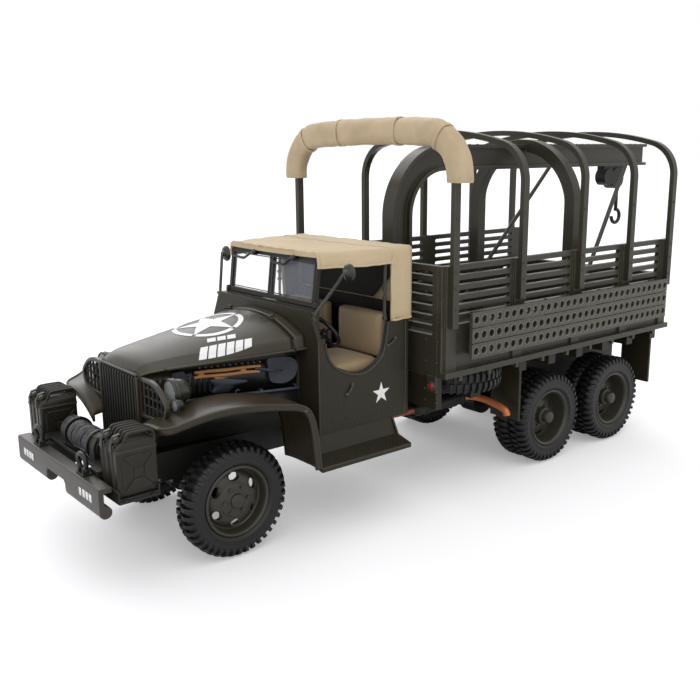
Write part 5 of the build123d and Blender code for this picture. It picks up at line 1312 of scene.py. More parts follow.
# height, growth, how far the front and rear slope in
canLevels = ((18.0, -0.25, 0, 0), (18.12, -0.08, 0, 0), (18.35, 0.0, 0, 0), (25.55, 0.0, 0, 0), (25.62, 0.12, 0, 0),
             (25.86, 0.14, 0, 0), (25.95, 0.04, 0, 0), (26.5, 0.0, 0, 0), (26.85, -0.1, 0.15, 0.1),
             (27.15, -0.3, 0.45, 0.3), (27.35, -0.5, 0.9, 0.65), (27.45, -0.75, 1.3, 1.0))


def canSection(grow, frontIn, rearIn, y0, y1, z):
    # a can's outline at one height, with a welded seam in the front and rear face
    x0, x1 = canLook["rear"] - grow + rearIn, canLook["front"] + grow - frontIn
    low, high = y0 - grow, y1 + grow
    corner = max(min(canLook["corner"] + grow, (high - low) / 2 - 0.45), 0.08)
    middle = (y0 + y1) / 2
    seam = canLook["seam"] if z < canLook["seamTop"] else 0.05
    line = [(x1, middle - 0.34), (x1 - seam, middle - 0.2), (x1 - seam, middle + 0.2), (x1, middle + 0.34)]
    line += roundArc((x1 - corner, high - corner), corner, 0, 90, 4)
    line += roundArc((x0 + corner, high - corner), corner, 90, 180, 4)
    line += [(x0, middle + 0.34), (x0 + seam, middle + 0.2), (x0 + seam, middle - 0.2), (x0, middle - 0.34)]
    line += roundArc((x0 + corner, low + corner), corner, 180, 270, 4)
    line += roundArc((x1 - corner, low + corner), corner, 270, 360, 4)
    return [(x, y, z) for x, y in line]


def towards(centre, points, share):
    # the same outline, shrunk to its centre
    return [tuple(centre[k] + (point[k] - centre[k]) * share for k in range(2)) for point in points]


cans, canRelief, canHandles = Shape(), Shape(), Shape()
x0, x1 = canLook["rear"], canLook["front"]
panelInset, panelLow, panelTop = canLook["panel"]
corners = [(x0 + panelInset, panelLow), (x1 - panelInset, panelLow), (x1 - panelInset, panelTop),
           (x0 + panelInset, panelTop)]
centre = ((x0 + x1) / 2, (panelLow + panelTop) / 2)
square = [(centre[0] + a * canLook["squareHalf"], centre[1] + b * canLook["squareHalf"])
          for a, b in ((-1, -1), (1, -1), (1, 1), (-1, 1))]
for y0 in canLook["insides"]:
    y1 = y0 + canLook["wide"]
    middle = (y0 + y1) / 2
    cans.skin([canSection(grow, frontIn, rearIn, y0, y1, z) for z, grow, frontIn, rearIn in canLevels])
    for face, out in ((y0, -1), (y1, 1)):      # four raised plates round a small square
        for index in range(4):
            after = (index + 1) % 4
            plate = [corners[index], corners[after], square[after], square[index]]
            plateMiddle = [sum(point[k] for point in plate) / 4 for k in range(2)]
            canRelief.prism(towards(plateMiddle, plate, 0.86), face - out * 0.05, face + out * canLook["rib"])
        canRelief.prism(towards(centre, square, 0.72), face - out * 0.05, face + out * canLook["rib"] * 0.8)
    for y in (y0 + canLook["handleOut"], middle, y1 - canLook["handleOut"]):
        path = smoothPath([(x0 + 0.3, y, 26.6), (x0 + 0.3, y, 27.7), (x0 + 0.7, y, 28.45), (x0 + 1.6, y, 28.65),
                           (x1 - 2.8, y, 28.65), (x1 - 2.1, y, 28.35), (x1 - 1.6, y, 27.5), (x1 - 1.4, y, 26.8)], 4)
        canHandles.tube(path, canLook["bar"], 8)
    canHandles.box((x0 + 0.3, y0 + 0.35, 26.6), (x0 + 0.6, y1 - 0.35, 27.35))
    canHandles.box((x1 - 2.0, y0 + 0.35, 26.6), (x1 - 1.7, y1 - 0.35, 27.15))
    # cap with its lever and ears
    canHandles.tube([(x1 - 1.2, middle, 26.1), (x1 - 0.95, middle, 27.0), (x1 - 0.8, middle, 27.65),
                     (x1 - 0.7, middle, 27.9)], [0.7, 0.8, 0.84, 0.6], 14)
    canHandles.strip([(x1 + 0.05, middle, 25.6), (x1, middle, 27.1), (x1 - 0.4, middle, 28.1),
                      (x1 - 1.5, middle, 28.35)], [(1, 0, 0), (1, 0, 0.4), (0.4, 0, 1), (0, 0, 1)], 0.7, 0.26)
    for ear in (-canLook["capEar"], canLook["capEar"]):
        canHandles.box((x1 - 0.8, middle + ear - 0.15, 25.7), (x1 + 0.14, middle + ear + 0.15, 27.0))
mirrorAll(cans, canRelief, canHandles)
addPiece("fuel_can_bodies", cans, "oliveCan", stands=("fuel_cans",), sharp=38)
addPiece("fuel_can_panels", canRelief, "oliveCan", bevel=0.09)
addPiece("fuel_can_handles", canHandles, "oliveCan", bevel=0.05)
trayLook = {"railX": (16.9, 23.45), "railY": (13.0, 20.3), "railZ": 19.15, "rail": 0.2, "edge": 0.26,
            "edgeX": (23.6, 16.3), "edgeY": 20.42, "edgeZ": 17.35, "boltX": (17.6, 22.4)}
trayTrim = Shape()
for x in trayLook["railX"]:
    trayTrim.tube([(x, y, trayLook["railZ"]) for y in trayLook["railY"]], trayLook["rail"], 8)
trayTrim.tube([(x, trayLook["edgeY"], trayLook["edgeZ"]) for x in trayLook["edgeX"]], trayLook["edge"], 8)
for x in trayLook["boltX"]:
    trayTrim.lathe([(0.01, 0.62), (0.26, 0.58), (0.36, 0.4), (0.38, 0.0)], (x, 20.35, 17.6), "y", 10)
trayTrim.mirrorAcross()
addPiece("can_tray_rims", trayTrim, "oliveChassis")
print("fuel cans made")

grilleLook = {"back": 12.8, "front": 13.6, "half": 7.45, "low": 20.6, "top": 34.7, "bars": 14, "bar": 0.52,
              "ties": (20.6, 24.0, 28.5, 32.0), "tie": 0.5, "rimY": (7.55, 8.05)}
grilleBack, grilleFront, fin = grilleLook["back"], grilleLook["front"], grilleLook["bar"]
grille = Shape()
finLine = [(grilleBack, grilleLook["low"]), (grilleFront, grilleLook["low"]), (grilleFront, grilleLook["top"] - 0.9)]
finLine += roundArc((grilleBack, grilleLook["top"] - 0.9), 0.8, 0, 82, 6)[1:]
finReach = grilleLook["half"] - fin / 2
for y in spaced(-finReach, finReach, grilleLook["bars"]):
    grille.prism(finLine, y - fin / 2, y + fin / 2)
for z in grilleLook["ties"]:
    tieEnd = (grilleBack + 0.42, grilleLook["half"], z + grilleLook["tie"])
    grille.box((grilleBack + 0.02, -grilleLook["half"], z), tieEnd)
addPiece("grille_fins", grille, "oliveChassis", stands=("grille",), bevel=0.13)
grilleRim = Shape()
inner, outer = grilleLook["rimY"]
grilleRim.box((grilleBack - 0.3, inner, grilleLook["low"]), (grilleFront - 0.1, outer, grilleLook["top"] - 0.3))
grilleRim.mirrorAcross()
grilleRim.tube([(13.2, y, 34.75) for y in spaced(-7.9, 7.9, 13)], 0.32, 8)
addPiece("grille_rim", grilleRim, "oliveBody", bevel=0.12)

# brush guards before the lamps: corners in y and z with their roundness, section, and the rods across
guardLook = {"corners": ((7.7, 27.4, 0.4), (7.7, 34.2, 0.6), (14.0, 34.3, 2.8), (17.8, 30.8, 1.5), (16.0, 27.8, 1.1)),
             "middle": (12.0, 31.0), "back": 12.15, "front": 12.95, "soft": 0.10, "softIn": 0.12, "out": 0.32,
             "in": 0.42, "rod": 0.24, "rodY": (9.3, 10.9, 12.5, 14.1, 15.6), "rodYX": 12.6,
             "rodZ": (29.6, 31.2, 32.8), "rodZX": 12.4, "stay": 0.3,
             "stays": (((12.6, 8.0, 34.1), (12.3, 7.6, 34.2)), ((12.4, 16.2, 28.4), (11.6, 16.2, 28.2)))}


def roundedLoop(corners, steps=5):
    # closed path with each corner cut by a curve of the given reach
    path = []
    for index, (a, b, reach) in enumerate(corners):
        here = Vector((a, b))
        before = Vector(corners[index - 1][:2])
        after = Vector(corners[(index + 1) % len(corners)][:2])
        start = here + (before - here).normalized() * reach
        end = here + (after - here).normalized() * reach
        for step in range(steps + 1):
            t = step / steps
            path.append(tuple((1 - t) ** 2 * start + 2 * t * (1 - t) * here + t * t * end))
    return path


def crossing(path, axis, value):
    # lowest and highest place where a closed path crosses a line
    found = []
    for p, q in zip(path, path[1:] + path[:1]):
        if (p[axis] - value) * (q[axis] - value) < 0:
            share = (value - p[axis]) / (q[axis] - p[axis])
            found.append(between(p[1 - axis], q[1 - axis], share))
    return min(found), max(found)


guardPath = roundedLoop(guardLook["corners"])
guards, rods = Shape(), Shape()
rows = []
for index, place in enumerate(guardPath):
    here = Vector(place)
    run = (Vector(guardPath[(index + 1) % len(guardPath)]) - Vector(guardPath[index - 1])).normalized()
    normal = Vector((run.y, -run.x))
    if normal.dot(here - Vector(guardLook["middle"])) < 0:
        normal = -normal
    outer, inner = here + normal * guardLook["out"], here - normal * guardLook["in"]
    softOut, softIn = outer - normal * guardLook["softIn"], inner + normal * guardLook["softIn"]
    flat = guardLook["front"] - guardLook["soft"]
    rows.append([(guardLook["back"], *inner), (flat, *inner), (guardLook["front"], *softIn),
                 (guardLook["front"], *softOut), (flat, *outer), (guardLook["back"], *outer)])
guards.skin(rows, loop=True)
for y in guardLook["rodY"]:
    rods.tube([(guardLook["rodYX"], y, z) for z in crossing(guardPath, 0, y)], guardLook["rod"], 8)
for z in guardLook["rodZ"]:
    rods.tube([(guardLook["rodZX"], y, z) for y in crossing(guardPath, 1, z)], guardLook["rod"], 8)
for stay in guardLook["stays"]:      # back to the grille and the fender
    rods.tube(stay, guardLook["stay"], 8)
mirrorAll(guards, rods)
addPiece("lamp_guards", guards, "oliveBody")
addPiece("lamp_guard_rods", rods, "oliveChassis")
print("grille made")

lampLook = {"steps": 36, "stalkFoot": 29.0, "lamps": ((10.2, 13.8, 32.35, 1.0), (10.9, 16.8, 30.75, 0.46))}
# each lamp: front of the shell, y, z and size; profiles of (radius, distance ahead of the front)
shellProfile = ((2.15, -0.05), (2.2, 0.05), (2.36, 0.06), (2.5, -0.08), (2.52, -0.3), (2.40, -0.42), (2.38, -0.62),
                (2.48, -0.70), (2.50, -0.92), (2.40, -1.05), (2.30, -1.15), (2.25, -1.9), (2.05, -2.7), (1.65, -3.4),
                (1.05, -3.9), (0.4, -4.15), (0.01, -4.2))
lensProfile = ((0.01, 0.34), (0.7, 0.30), (1.3, 0.18), (1.8, 0.03), (2.15, -0.12), (2.2, -0.5), (0.01, -0.5))
shells, lenses = Shape(), Shape()
for front, y, z, size in lampLook["lamps"]:
    for shape, profile in ((shells, shellProfile), (lenses, lensProfile)):
        shape.lathe([(radius * size, run * size) for radius, run in profile], (front, y, z), "x", lampLook["steps"])
    stalk = ((1.6, lampLook["stalkFoot"]), (1.7, lampLook["stalkFoot"] + 0.9), (1.9, z - 2.0 * size))
    shells.tube([(front - back * size, y, height) for back, height in stalk],
                [0.95 * size + 0.25, 0.55, 0.6 * size + 0.2], 12)
mirrorAll(shells, lenses)
addPiece("lamp_shells", shells, "oliveLamp", stands=("headlamps",), sharp=26)
addPiece("lamp_glasses", lenses, "lampGlass", stands=("lamp_lenses",), sharp=50)

# red reflectors on the headboard's outer posts
redLook = {"place": (-45.05, 22.6, 25.4), "steps": 20, "plateHalf": 1.25, "plateDrop": 1.35, "plateRise": 2.2}
reds, redSockets = Shape(), Shape()
x, y, z = redLook["place"]
reds.lathe([(0.01, 0.14), (0.35, 0.11), (0.62, 0.0), (0.72, -0.14), (0.72, -0.4), (0.01, -0.4)], (x, y, z), "x",
           redLook["steps"])
redSockets.lathe([(0.72, -0.5), (0.72, 0.02), (0.82, 0.06), (0.92, -0.02), (0.94, -0.5)], (x, y, z), "x",
                 redLook["steps"])
redSockets.box((x - 0.65, y - redLook["plateHalf"], z - redLook["plateDrop"]),
               (x - 0.25, y + redLook["plateHalf"], z + redLook["plateRise"]))
mirrorAll(reds, redSockets)
addPiece("red_reflectors", reds, "redLens")
addPiece("reflector_brackets", redSockets, "oliveBed", bevel=0.06)
print("lamps made")

bayLook = {"front": 13.0, "rear": -18.5, "low": 20.7, "top": 35.2, "recessFront": 6.9, "recessLow": 28.1,
           "recessTop": 34.7, "depth": 0.9, "sheet": 0.3}
bayFront, bayRear, recessFront = bayLook["front"], bayLook["rear"], bayLook["recessFront"]
low, high, deep = bayLook["recessLow"], bayLook["recessTop"], -bayLook["depth"]


def baySide(x, z, out=0.0):
    # a place on the engine's side, out from the sheet
    return (x, bayHalf(x) - 0.25 + out, z)


def bayPanel(shape, x0, x1, z0, z1, out0=0.0, out1=0.0, steps=8):
    shape.skin([[baySide(x, z, out) for z, out in ((z0, out0), (z1, out1))] for x in spaced(x0, x1, steps + 1)],
               ring=False)


bay, recess, skirts = Shape(), Shape(), Shape()
bayPanel(bay, bayFront, recessFront, low, bayLook["top"])
bayPanel(bay, recessFront, bayRear, high, bayLook["top"])
bayPanel(recess, recessFront, bayRear, low, high, deep, deep)
bayPanel(recess, recessFront, bayRear, low, low + 0.01, 0.0, deep)
bayPanel(recess, recessFront, bayRear, high, high - 0.01, 0.0, deep)
recess.skin([[baySide(recessFront, z, out) for out in (0.0, deep)] for z in (low, high)], ring=False)
bayPanel(skirts, bayFront, bayRear, bayLook["low"], low)
mirrorAll(bay, recess, skirts)
ends = [[(x, side * (bayHalf(x) - 0.25)) for side in (1, -1)] for x in (bayFront, bayRear)]
for pair in ends:
    skirts.skin([[(x, y, z) for x, y in pair] for z in (bayLook["low"], bayLook["top"])], ring=False)
skirts.skin([[(x, y, bayLook["low"]) for x, y in pair] for pair in ends], ring=False)
# the recess floor is a near-black sheet: painted shade deep in the recess
addPiece("engine_side_recess", recess, "blackPart", sheet=0.15)
addPiece("engine_sides", bay, "oliveBody", stands=("engine_bay",), sheet=bayLook["sheet"])
addPiece("engine_side_skirts", skirts, "oliveChassis", sheet=bayLook["sheet"])

# louvres: first x, last x, how many, half width, low, high, and how far in and out; studs in a row under the lip
louvreLook = {"rows": ((4.6, -0.6, 6, (-0.32, 0.28), 29.6, 32.6, -1.3, -0.73),
                       (11.6, 8.4, 4, (-0.25, 0.25), 29.8, 33.4, -0.4, 0.05)),
              "studs": 11, "studFrom": (1.57, 34.55), "studTo": (-10.25, 34.25)}
louvres, studs = Shape(), Shape()
for first, last, count, width, z0, z1, inside, outside in louvreLook["rows"]:
    for x in spaced(first, last, count):
        x0, x1 = (x + part for part in width)
        louvres.prism([(x0, z0), (x1, z0), (x1, z1), (x0, z1)], bayHalf(x) + inside, bayHalf(x) + outside)
for x, z in zip(*(spaced(a, b, louvreLook["studs"]) for a, b in zip(louvreLook["studFrom"], louvreLook["studTo"]))):
    studs.lathe([(0.01, 0.24), (0.1, 0.22), (0.17, 0.1), (0.18, -0.9)], baySide(x, z), "y", 8)
mirrorAll(louvres, studs)
# the stud heads take bright bare steel so that they show as light dots: painted highlight on the stud heads
addPiece("engine_side_studs", studs, "bareSteel")
addPiece("engine_side_louvres", louvres, "blackPart", bevel=0.08)

# tools strapped in the recess; outlines are (x, z), faces are (share of the outline, out from the side)
toolLook = {
    "shaft": 0.34, "shafts": (((2.6, 33.75), (-10.4, 33.4)), ((2.7, 32.85), (-10.2, 32.4))), "clips": (1.26, -6.9),
    "blade": ((-11.9, 34.65), (-14.6, 34.65), (-16.8, 34.3), (-18.0, 33.3), (-18.15, 31.9), (-17.5, 30.4),
              (-15.6, 29.35), (-13.6, 29.5), (-12.3, 30.1), (-12.0, 31.4), (-11.85, 32.9)),
    "bladeCentre": (-14.8, 31.9), "bladeFace": ((1.0, 0.05), (0.97, 0.22), (0.8, 0.14), (0.55, 0.02), (0.3, -0.06),
                                                (0.08, -0.08)),
    "pick": ((-0.4, 31.9), (-2.4, 32.1), (-4.6, 31.6), (-7.8, 30.9), (-7.6, 30.5), (-5.6, 30.2), (-4.4, 29.5),
             (-3.6, 29.1), (-0.8, 29.3), (-1.3, 30.5)),
    "pickCentre": (-3.2, 30.6), "pickFace": ((1.0, -0.35), (0.95, -0.05), (0.7, 0.06), (0.35, 0.12), (0.05, 0.14)),
    "axe": ((6.95, 34.3), (4.65, 34.35), (4.2, 33.6), (2.9, 33.7), (2.9, 33.2), (4.6, 33.1), (5.0, 31.6), (6.5, 31.2)),
    "railFrom": (5.8, 28.75), "railTo": (-18.2, 28.0), "rail": 0.32, "posts": (5.4, -1.5, -10.5, -17.6), "post": 0.24,
}


def dished(shape, outline, centre, face, thick):
    # a plate with a hollow or raised face, and its rim going back
    rows = [[baySide(x, z, out) for x, z in towards(centre, outline, share)] for share, out in face]
    shape.skin(rows, caps=False)
    shape.skin([rows[0], [(x, y - thick, z) for x, y, z in rows[0]]], caps=False)


wood, steel = Shape(), Shape()
for (startX, startZ), (endX, endZ) in toolLook["shafts"]:
    path = [baySide(between(startX, endX, step / 10), between(startZ, endZ, step / 10) + 0.05 * math.sin(step), 0.05)
            for step in range(11)]
    wood.tube(path, [toolLook["shaft"] * (0.9 + 0.12 * math.sin(0.4 * step)) for step in range(11)], 10)
for x in toolLook["clips"]:
    y = bayHalf(x)
    wood.prism([(x - 0.55, 32.6), (x + 0.55, 32.6), (x + 0.55, 33.7), (x - 0.55, 33.7)], y - 0.9, y - 0.02)
wood.prism([(-1.3, 32.0), (-3.7, 31.9), (-3.9, 32.5), (-1.1, 32.6)], bayHalf(-2) - 0.9, bayHalf(-2) - 0.1)
# shovel blade with its socket, pick head, axe head, and the rail on posts with a hook
dished(steel, smoothPath(toolLook["blade"], 4, closed=True), toolLook["bladeCentre"], toolLook["bladeFace"], 0.6)
steel.tube([baySide(-9.2, 33.1, 0.05), baySide(-10.6, 32.7, 0.08), baySide(-12.4, 32.3, 0.15),
            baySide(-15.0, 32.05, 0.1)], [0.42, 0.46, 0.42, 0.1], 10, flat=0.8)
dished(steel, smoothPath(toolLook["pick"], 3, closed=True), toolLook["pickCentre"], toolLook["pickFace"], 0.5)
steel.prism(toolLook["axe"], bayHalf(5) - 1.1, bayHalf(5) - 0.05)
railLine = zip(*(spaced(a, b, 17) for a, b in zip(toolLook["railFrom"], toolLook["railTo"])))
steel.tube([baySide(x, z, 0.15) for x, z in railLine], toolLook["rail"], 8)
for x in toolLook["posts"]:
    steel.tube([baySide(x, 28.6, -0.6), baySide(x, 28.6, 0.2)], toolLook["post"], 8)
steel.tube([baySide(-4.98, 28.4, 0.3), baySide(-5.1, 29.2, 0.4), baySide(-5.5, 29.5, 0.35), baySide(-5.9, 29.2, 0.3)],
           0.16, 8)
mirrorAll(wood, steel)
addPiece("tool_shafts", wood, "toolWood", bevel=0.06)
addPiece("tool_heads", steel, "toolSteel", sharp=40)
print("engine sides made")

screenLook = {"low": 43.75, "top": 53.5, "half": 15.5, "bar": 1.0, "depth": 0.9, "lowX": -20.6, "topX": -21.8,
              "leanFrom": 43.65, "leanHeight": 9.55, "clampDepth": 1.4, "clampOut": 0.75, "pane": 0.25,
              # gaskets round each pane: inset, corner roundness, ahead of the bars, thickness
              "gaskets": ((-0.03, 0.4, 0.0, 0.13), (0.37, 0.5, -0.25, 0.104))}
screenLow, screenTop, half, bar = (screenLook[key] for key in ("low", "top", "half", "bar"))


def screenX(z, ahead=0.0):
    # the windshield leans back
    share = (z - screenLook["leanFrom"]) / screenLook["leanHeight"]
    return between(screenLook["lowX"], screenLook["topX"], share) + ahead


def screenBar(shape, y0, y1, z0, z1, front=0.0, depth=screenLook["depth"]):
    corners = ((y0, z0), (y1, z0), (y1, z1), (y0, z1))
    shape.skin([[(screenX(z, ahead), y, z) for y, z in corners] for ahead in (front, front - depth)])


screen, gaskets, panes = Shape(), Shape(), Shape()
for y0, y1 in ((-half, bar - half), (-bar / 2, bar / 2), (half - bar, half)):
    screenBar(screen, y0, y1, screenLow, screenTop)
for z0, z1 in ((screenLow, screenLow + bar), (screenTop - bar, screenTop)):
    for y0, y1 in ((bar - half, -bar / 2), (bar / 2, half - bar)):
        screenBar(screen, y0, y1, z0, z1)
for side in (1, -1):      # clamps at the lower corners
    screenBar(screen, side * (half - 0.2), side * (half + screenLook["clampOut"]), 43.7, 44.9, 0.35,
              screenLook["clampDepth"])
for inset, reach, ahead, thick in screenLook["gaskets"]:
    y0, y1 = bar / 2 + inset + 0.05, half - bar - inset
    z0, z1 = screenLow + bar + inset, screenTop - bar - inset
    loop = roundedLoop([(y0, z0, reach), (y1, z0, reach), (y1, z1, reach), (y0, z1, reach)])
    gaskets.tube([(screenX(z, ahead), y, z) for y, z in loop], thick, 6, loop=True)
screenBar(panes, bar / 2 - 0.2, half - bar + 0.2, screenLow + bar - 0.2, screenTop - bar + 0.2, -0.3,
          screenLook["pane"])
mirrorAll(gaskets, panes)
gaskets.tube([(screenX(43.5, 0.15), y, 43.55) for y in (-15.3, -5, 5, 15.3)], 0.16, 8)
addPiece("screen_frame_bars", screen, "oliveChassis", stands=("windshield_frame",), bevel=0.16)
addPiece("screen_gaskets", gaskets, "oliveRim")
addPiece("screen_panes", panes, "screenGlass", stands=("windshield_glass",))

wiperLook = {"bar": 0.27, "ahead": 0.42, "rise": 0.10,
             "arms": (((-13.8, 51.5), (-11.4, 51.35), (-9.6, 51.35), (-8.3, 51.9), (-6.9, 52.6), (-5.6, 52.9)),
                      ((0.4, 51.6), (2.9, 51.3), (4.7, 51.25), (6.0, 51.8), (7.3, 52.6), (8.4, 52.95)))}
wipers = Shape()
for arm in wiperLook["arms"]:      # each from its blade to the pivot in the top bar
    path = [(screenX(z, wiperLook["ahead"] + wiperLook["rise"] * index), y, z) for index, (y, z) in enumerate(arm)]
    wipers.tube(smoothPath(path, 4), wiperLook["bar"], 8)
    y, z = arm[-1]
    wipers.lathe([(0.01, 0.5), (0.42, 0.5), (0.55, 0.35), (0.6, 0.0), (0.6, -0.6)],
                 (screenX(z, 0.55), y - 0.2, z - 0.05), "x", 14)
    wipers.strip([(screenX(z, 0.22), y, z) for y, z in arm[:3]], (1, 0, 0), 0.42, 0.3)
addPiece("screen_wipers", wipers, "blackPart")

mirrorLook = {"place": (-23.8, 21.8, 51.0), "boss": (-23.7, 21.8, 51.0), "arm": 0.33, "clampZ": (42.0, 43.2),
              "armPath": ((-19.1, 16.9, 41.9), (-19.4, 17.3, 43.0), (-21.9, 20.4, 48.5), (-22.7, 21.4, 50.4),
                          (-23.1, 21.8, 51.0))}
mirrors, mirrorFaces = Shape(), Shape()
mirrors.lathe([(0.01, 0.45), (0.5, 0.42), (1.0, 0.28), (1.45, 0.05), (1.68, -0.15), (1.75, -0.32), (1.72, -0.48),
               (1.6, -0.52), (1.52, -0.42), (1.5, -0.3)], mirrorLook["place"], "x", 32)
mirrorFaces.lathe([(0.01, -0.34), (0.8, -0.36), (1.54, -0.42)], mirrorLook["place"], "x", 32)
mirrors.tube(smoothPath(mirrorLook["armPath"], 4), mirrorLook["arm"], 8)
mirrors.lathe([(0.01, 0.9), (0.45, 0.8), (0.6, 0.5), (0.62, -0.2)], mirrorLook["boss"], "x", 12)
for z in mirrorLook["clampZ"]:
    mirrors.box((-19.6, 16.2, z - 0.3), (-18.75, 17.5, z + 0.3))
mirrorAll(mirrors, mirrorFaces)
addPiece("mirror_heads", mirrors, "oliveLamp", stands=("mirrors",))
addPiece("mirror_faces", mirrorFaces, "mirrorGlass")
print("windshield and mirrors made")

# bead round the doorway, seams, studs, strap loops and the post that carries the top; places are (x, z)
cabLook = {
    "side": 19.0, "bead": 0.26, "rubber": 0.36, "star": (-34.55, 25.15), "starTip": 2.35,
    "doorway": ((-20.35, 37.4), (-20.9, 35.0), (-22.0, 33.1), (-23.6, 31.75), (-26.4, 30.5), (-29.5, 30.05),
                (-32.2, 30.85), (-34.55, 32.6), (-35.7, 35.2), (-36.5, 39.6)),
    "rearSeam": ((-41.2, 39.4), (-41.2, 31.0), (-41.2, 23.3), (-40.6, 19.7)),
    "frontSeam": ((-18.75, 38.2), (-18.75, 30.0), (-18.75, 19.6)),
    "studs": ((-21.8, 22.0), (-25.4, 21.5), (-28.5, 21.3), (-31.9, 21.15), (-34.9, 21.05), (-38.0, 20.9),
              (-23.8, 24.5)),
    "loops": (((-36.3, 34.75), (-38.4, 36.1)), ((-25.5, 26.4), (-27.0, 28.3))),
    "post": ((-36.0, 39.9), (-36.1, 44.3), (-36.3, 51.2)), "postY": 18.35, "postBar": 0.33,
    "postRings": (40.4, 44.5, 46.2),
}
cabSide, postY = cabLook["side"], cabLook["postY"]
cabTrim, doorEdge, sideStars = Shape(), Shape(), Shape()
cabTrim.tube(smoothPath([(x, cabSide + 0.02, z) for x, z in cabLook["doorway"]], 4), cabLook["bead"], 8)
cabTrim.tube([(x, cabSide + 0.03, z) for x, z in cabLook["rearSeam"]], 0.14, 6)
cabTrim.tube([(x, cabSide - 0.02, z) for x, z in cabLook["frontSeam"]], 0.16, 6)
for x, z in cabLook["studs"]:
    cabTrim.lathe([(0.01, 0.2), (0.14, 0.17), (0.22, 0.05), (0.23, -0.2)], (x, cabSide, z), "y", 10)
for ends in cabLook["loops"]:      # two bosses and a strap between them
    for x, z in ends:
        cabTrim.lathe([(0.01, 0.5), (0.2, 0.46), (0.3, 0.28), (0.42, 0.18), (0.46, -0.1)], (x, cabSide, z), "y", 12)
    (x0, z0), (x1, z1) = ends
    cabTrim.tube([(x0, cabSide + 0.2, z0), ((x0 + x1) / 2, cabSide + 0.42, (z0 + z1) / 2), (x1, cabSide + 0.2, z1)],
                 0.2, 8)
cabTrim.tube([(x, postY, z) for x, z in cabLook["post"]], cabLook["postBar"], 8)
for z in cabLook["postRings"]:
    cabTrim.lathe([(0.33, -0.3), (0.52, -0.22), (0.52, 0.22), (0.33, 0.3)], (-36.1, postY, z), "z", 12)
doorEdge.tube(smoothPath([(x + 0.05, cabSide - 0.55, z + 0.12) for x, z in cabLook["doorway"][3:]], 4),
              cabLook["rubber"], 8)
star(sideStars, lambda point: (point[0], cabSide + 0.03, point[1]), cabLook["star"], cabLook["starTip"], 90, 2)
mirrorAll(cabTrim, doorEdge, sideStars)
addPiece("cab_side_trim", cabTrim, "oliveRim")
addPiece("doorway_rubber", doorEdge, "blackPart")
# a near-black sheet with a slanting edge just inside the rear curtain, and a near-black bar below it
darkSheet = Shape()
darkSheet.prism([(-17.6, 52.9), (17.2, 52.9), (15.6, 49.5), (8.0, 42.9), (-17.6, 42.9)], -41.95, -41.75, "x")
darkSheet.prism([(-17.8, 39.9), (17.8, 39.9), (17.8, 42.6), (-17.8, 42.6)], -41.9, -41.2, "x")
addPiece("cab_rear_dark_sheet", darkSheet, "cabDarkSheet", bevel=0.1)
addPiece("cab_side_stars", sideStars, "whiteMark")

boardLook = {"front": -15.2, "rear": -37.4, "inner": 20.9, "outer": 24.7, "top": 15.3, "rise": 0.88, "bar": 0.24,
             "columns": 22, "lines": 5, "knobsX": (-16.4, -36.8), "knob": (0.28, 0.17), "struts": (-20.0, -27.0, -33.5)}
boards, tread = Shape(), Shape()
boardInner, boardOuter, boardTop, boardRear = (boardLook[key] for key in ("inner", "outer", "top", "rear"))
for column in range(boardLook["columns"]):      # staggered anti-slip knobs
    for line in range(boardLook["lines"]):
        x = between(*boardLook["knobsX"], (column + 0.5 * (line % 2)) / boardLook["columns"])
        y = between(boardOuter - 0.6, boardInner + 0.4, (line + 0.5) / boardLook["lines"])
        z = boardTop + boardLook["rise"] * max(0.0, (boardOuter - y) / 4.3) + 0.02
        turns = [step * math.pi / 3 + 0.5 for step in range(6)]
        long, short = boardLook["knob"]
        tread.skin([[(x + long * size * math.cos(turn), y + short * size * math.sin(turn), z + lift) for turn in turns]
                    for size, lift in ((1.0, -0.1), (1.0, 0.08), (0.5, 0.14))])
boards.tube([(boardLook["front"] + 0.3, boardOuter + 0.02, boardTop - 0.12),
             (boardRear - 0.1, boardOuter + 0.02, boardTop - 0.12)], boardLook["bar"], 8)
boards.tube([(boardRear - 0.12, boardOuter, boardTop - 0.2), (boardRear - 0.12, boardInner, boardTop + 0.8),
             (boardRear - 0.12, 19.2, 19.3)], boardLook["bar"], 8)
for x in boardLook["struts"]:
    boards.prism([(24.2, 14.4), (20.6, 15.3), (14.5, 18.6), (10.1, 18.6), (10.1, 17.4), (19.8, 14.3)], x - 0.5, x + 0.5,
                 "x")
mirrorAll(boards, tread)
addPiece("running_board_trim", boards, "oliveBody", bevel=0.05)
addPiece("running_board_tread", tread, "oliveChassis", sharp=50)

wheelLook = {"hub": (-27.6, 9.6, 37.4), "foot": (-19.6, 9.6, 31.8), "radius": 3.7, "rim": 0.42, "grips": 10,
             "spokes": 3, "spoke": 0.27, "column": ((0.35, 0.4), (0.15, 0.85), (-0.6, 0.95), (-1.1, 0.7), (-1.3, 0.46))}
hub, foot = Vector(wheelLook["hub"]), Vector(wheelLook["foot"])
axis = (hub - foot).normalized()
across = Vector((0, 1, 0))


def wheelPoint(turn):
    return hub + wheelLook["radius"] * (math.cos(turn) * across + math.sin(turn) * axis.cross(across))


steering = Shape()
turns = turnsRound(40)
steering.tube([wheelPoint(turn) for turn in turns],
              [wheelLook["rim"] * (1 + 0.08 * math.cos(wheelLook["grips"] * turn)) for turn in turns], 10, loop=True)
for step in range(wheelLook["spokes"]):
    tip = wheelPoint(math.pi / 2 + 2 * math.pi * step / wheelLook["spokes"])
    steering.tube(smoothPath([tuple(hub - axis * 0.3), tuple((hub + tip) / 2 - axis * 0.35), tuple(tip)], 4),
                  wheelLook["spoke"], 8)
steering.tube([hub + axis * run for run, radius in wheelLook["column"]] + [foot],
              [radius for run, radius in wheelLook["column"]] + [wheelLook["column"][-1][1]], 14)
addPiece("steering_wheel_rim", steering, "blackPart", stands=("steering_wheel",), sharp=45)
print("cab trim made")

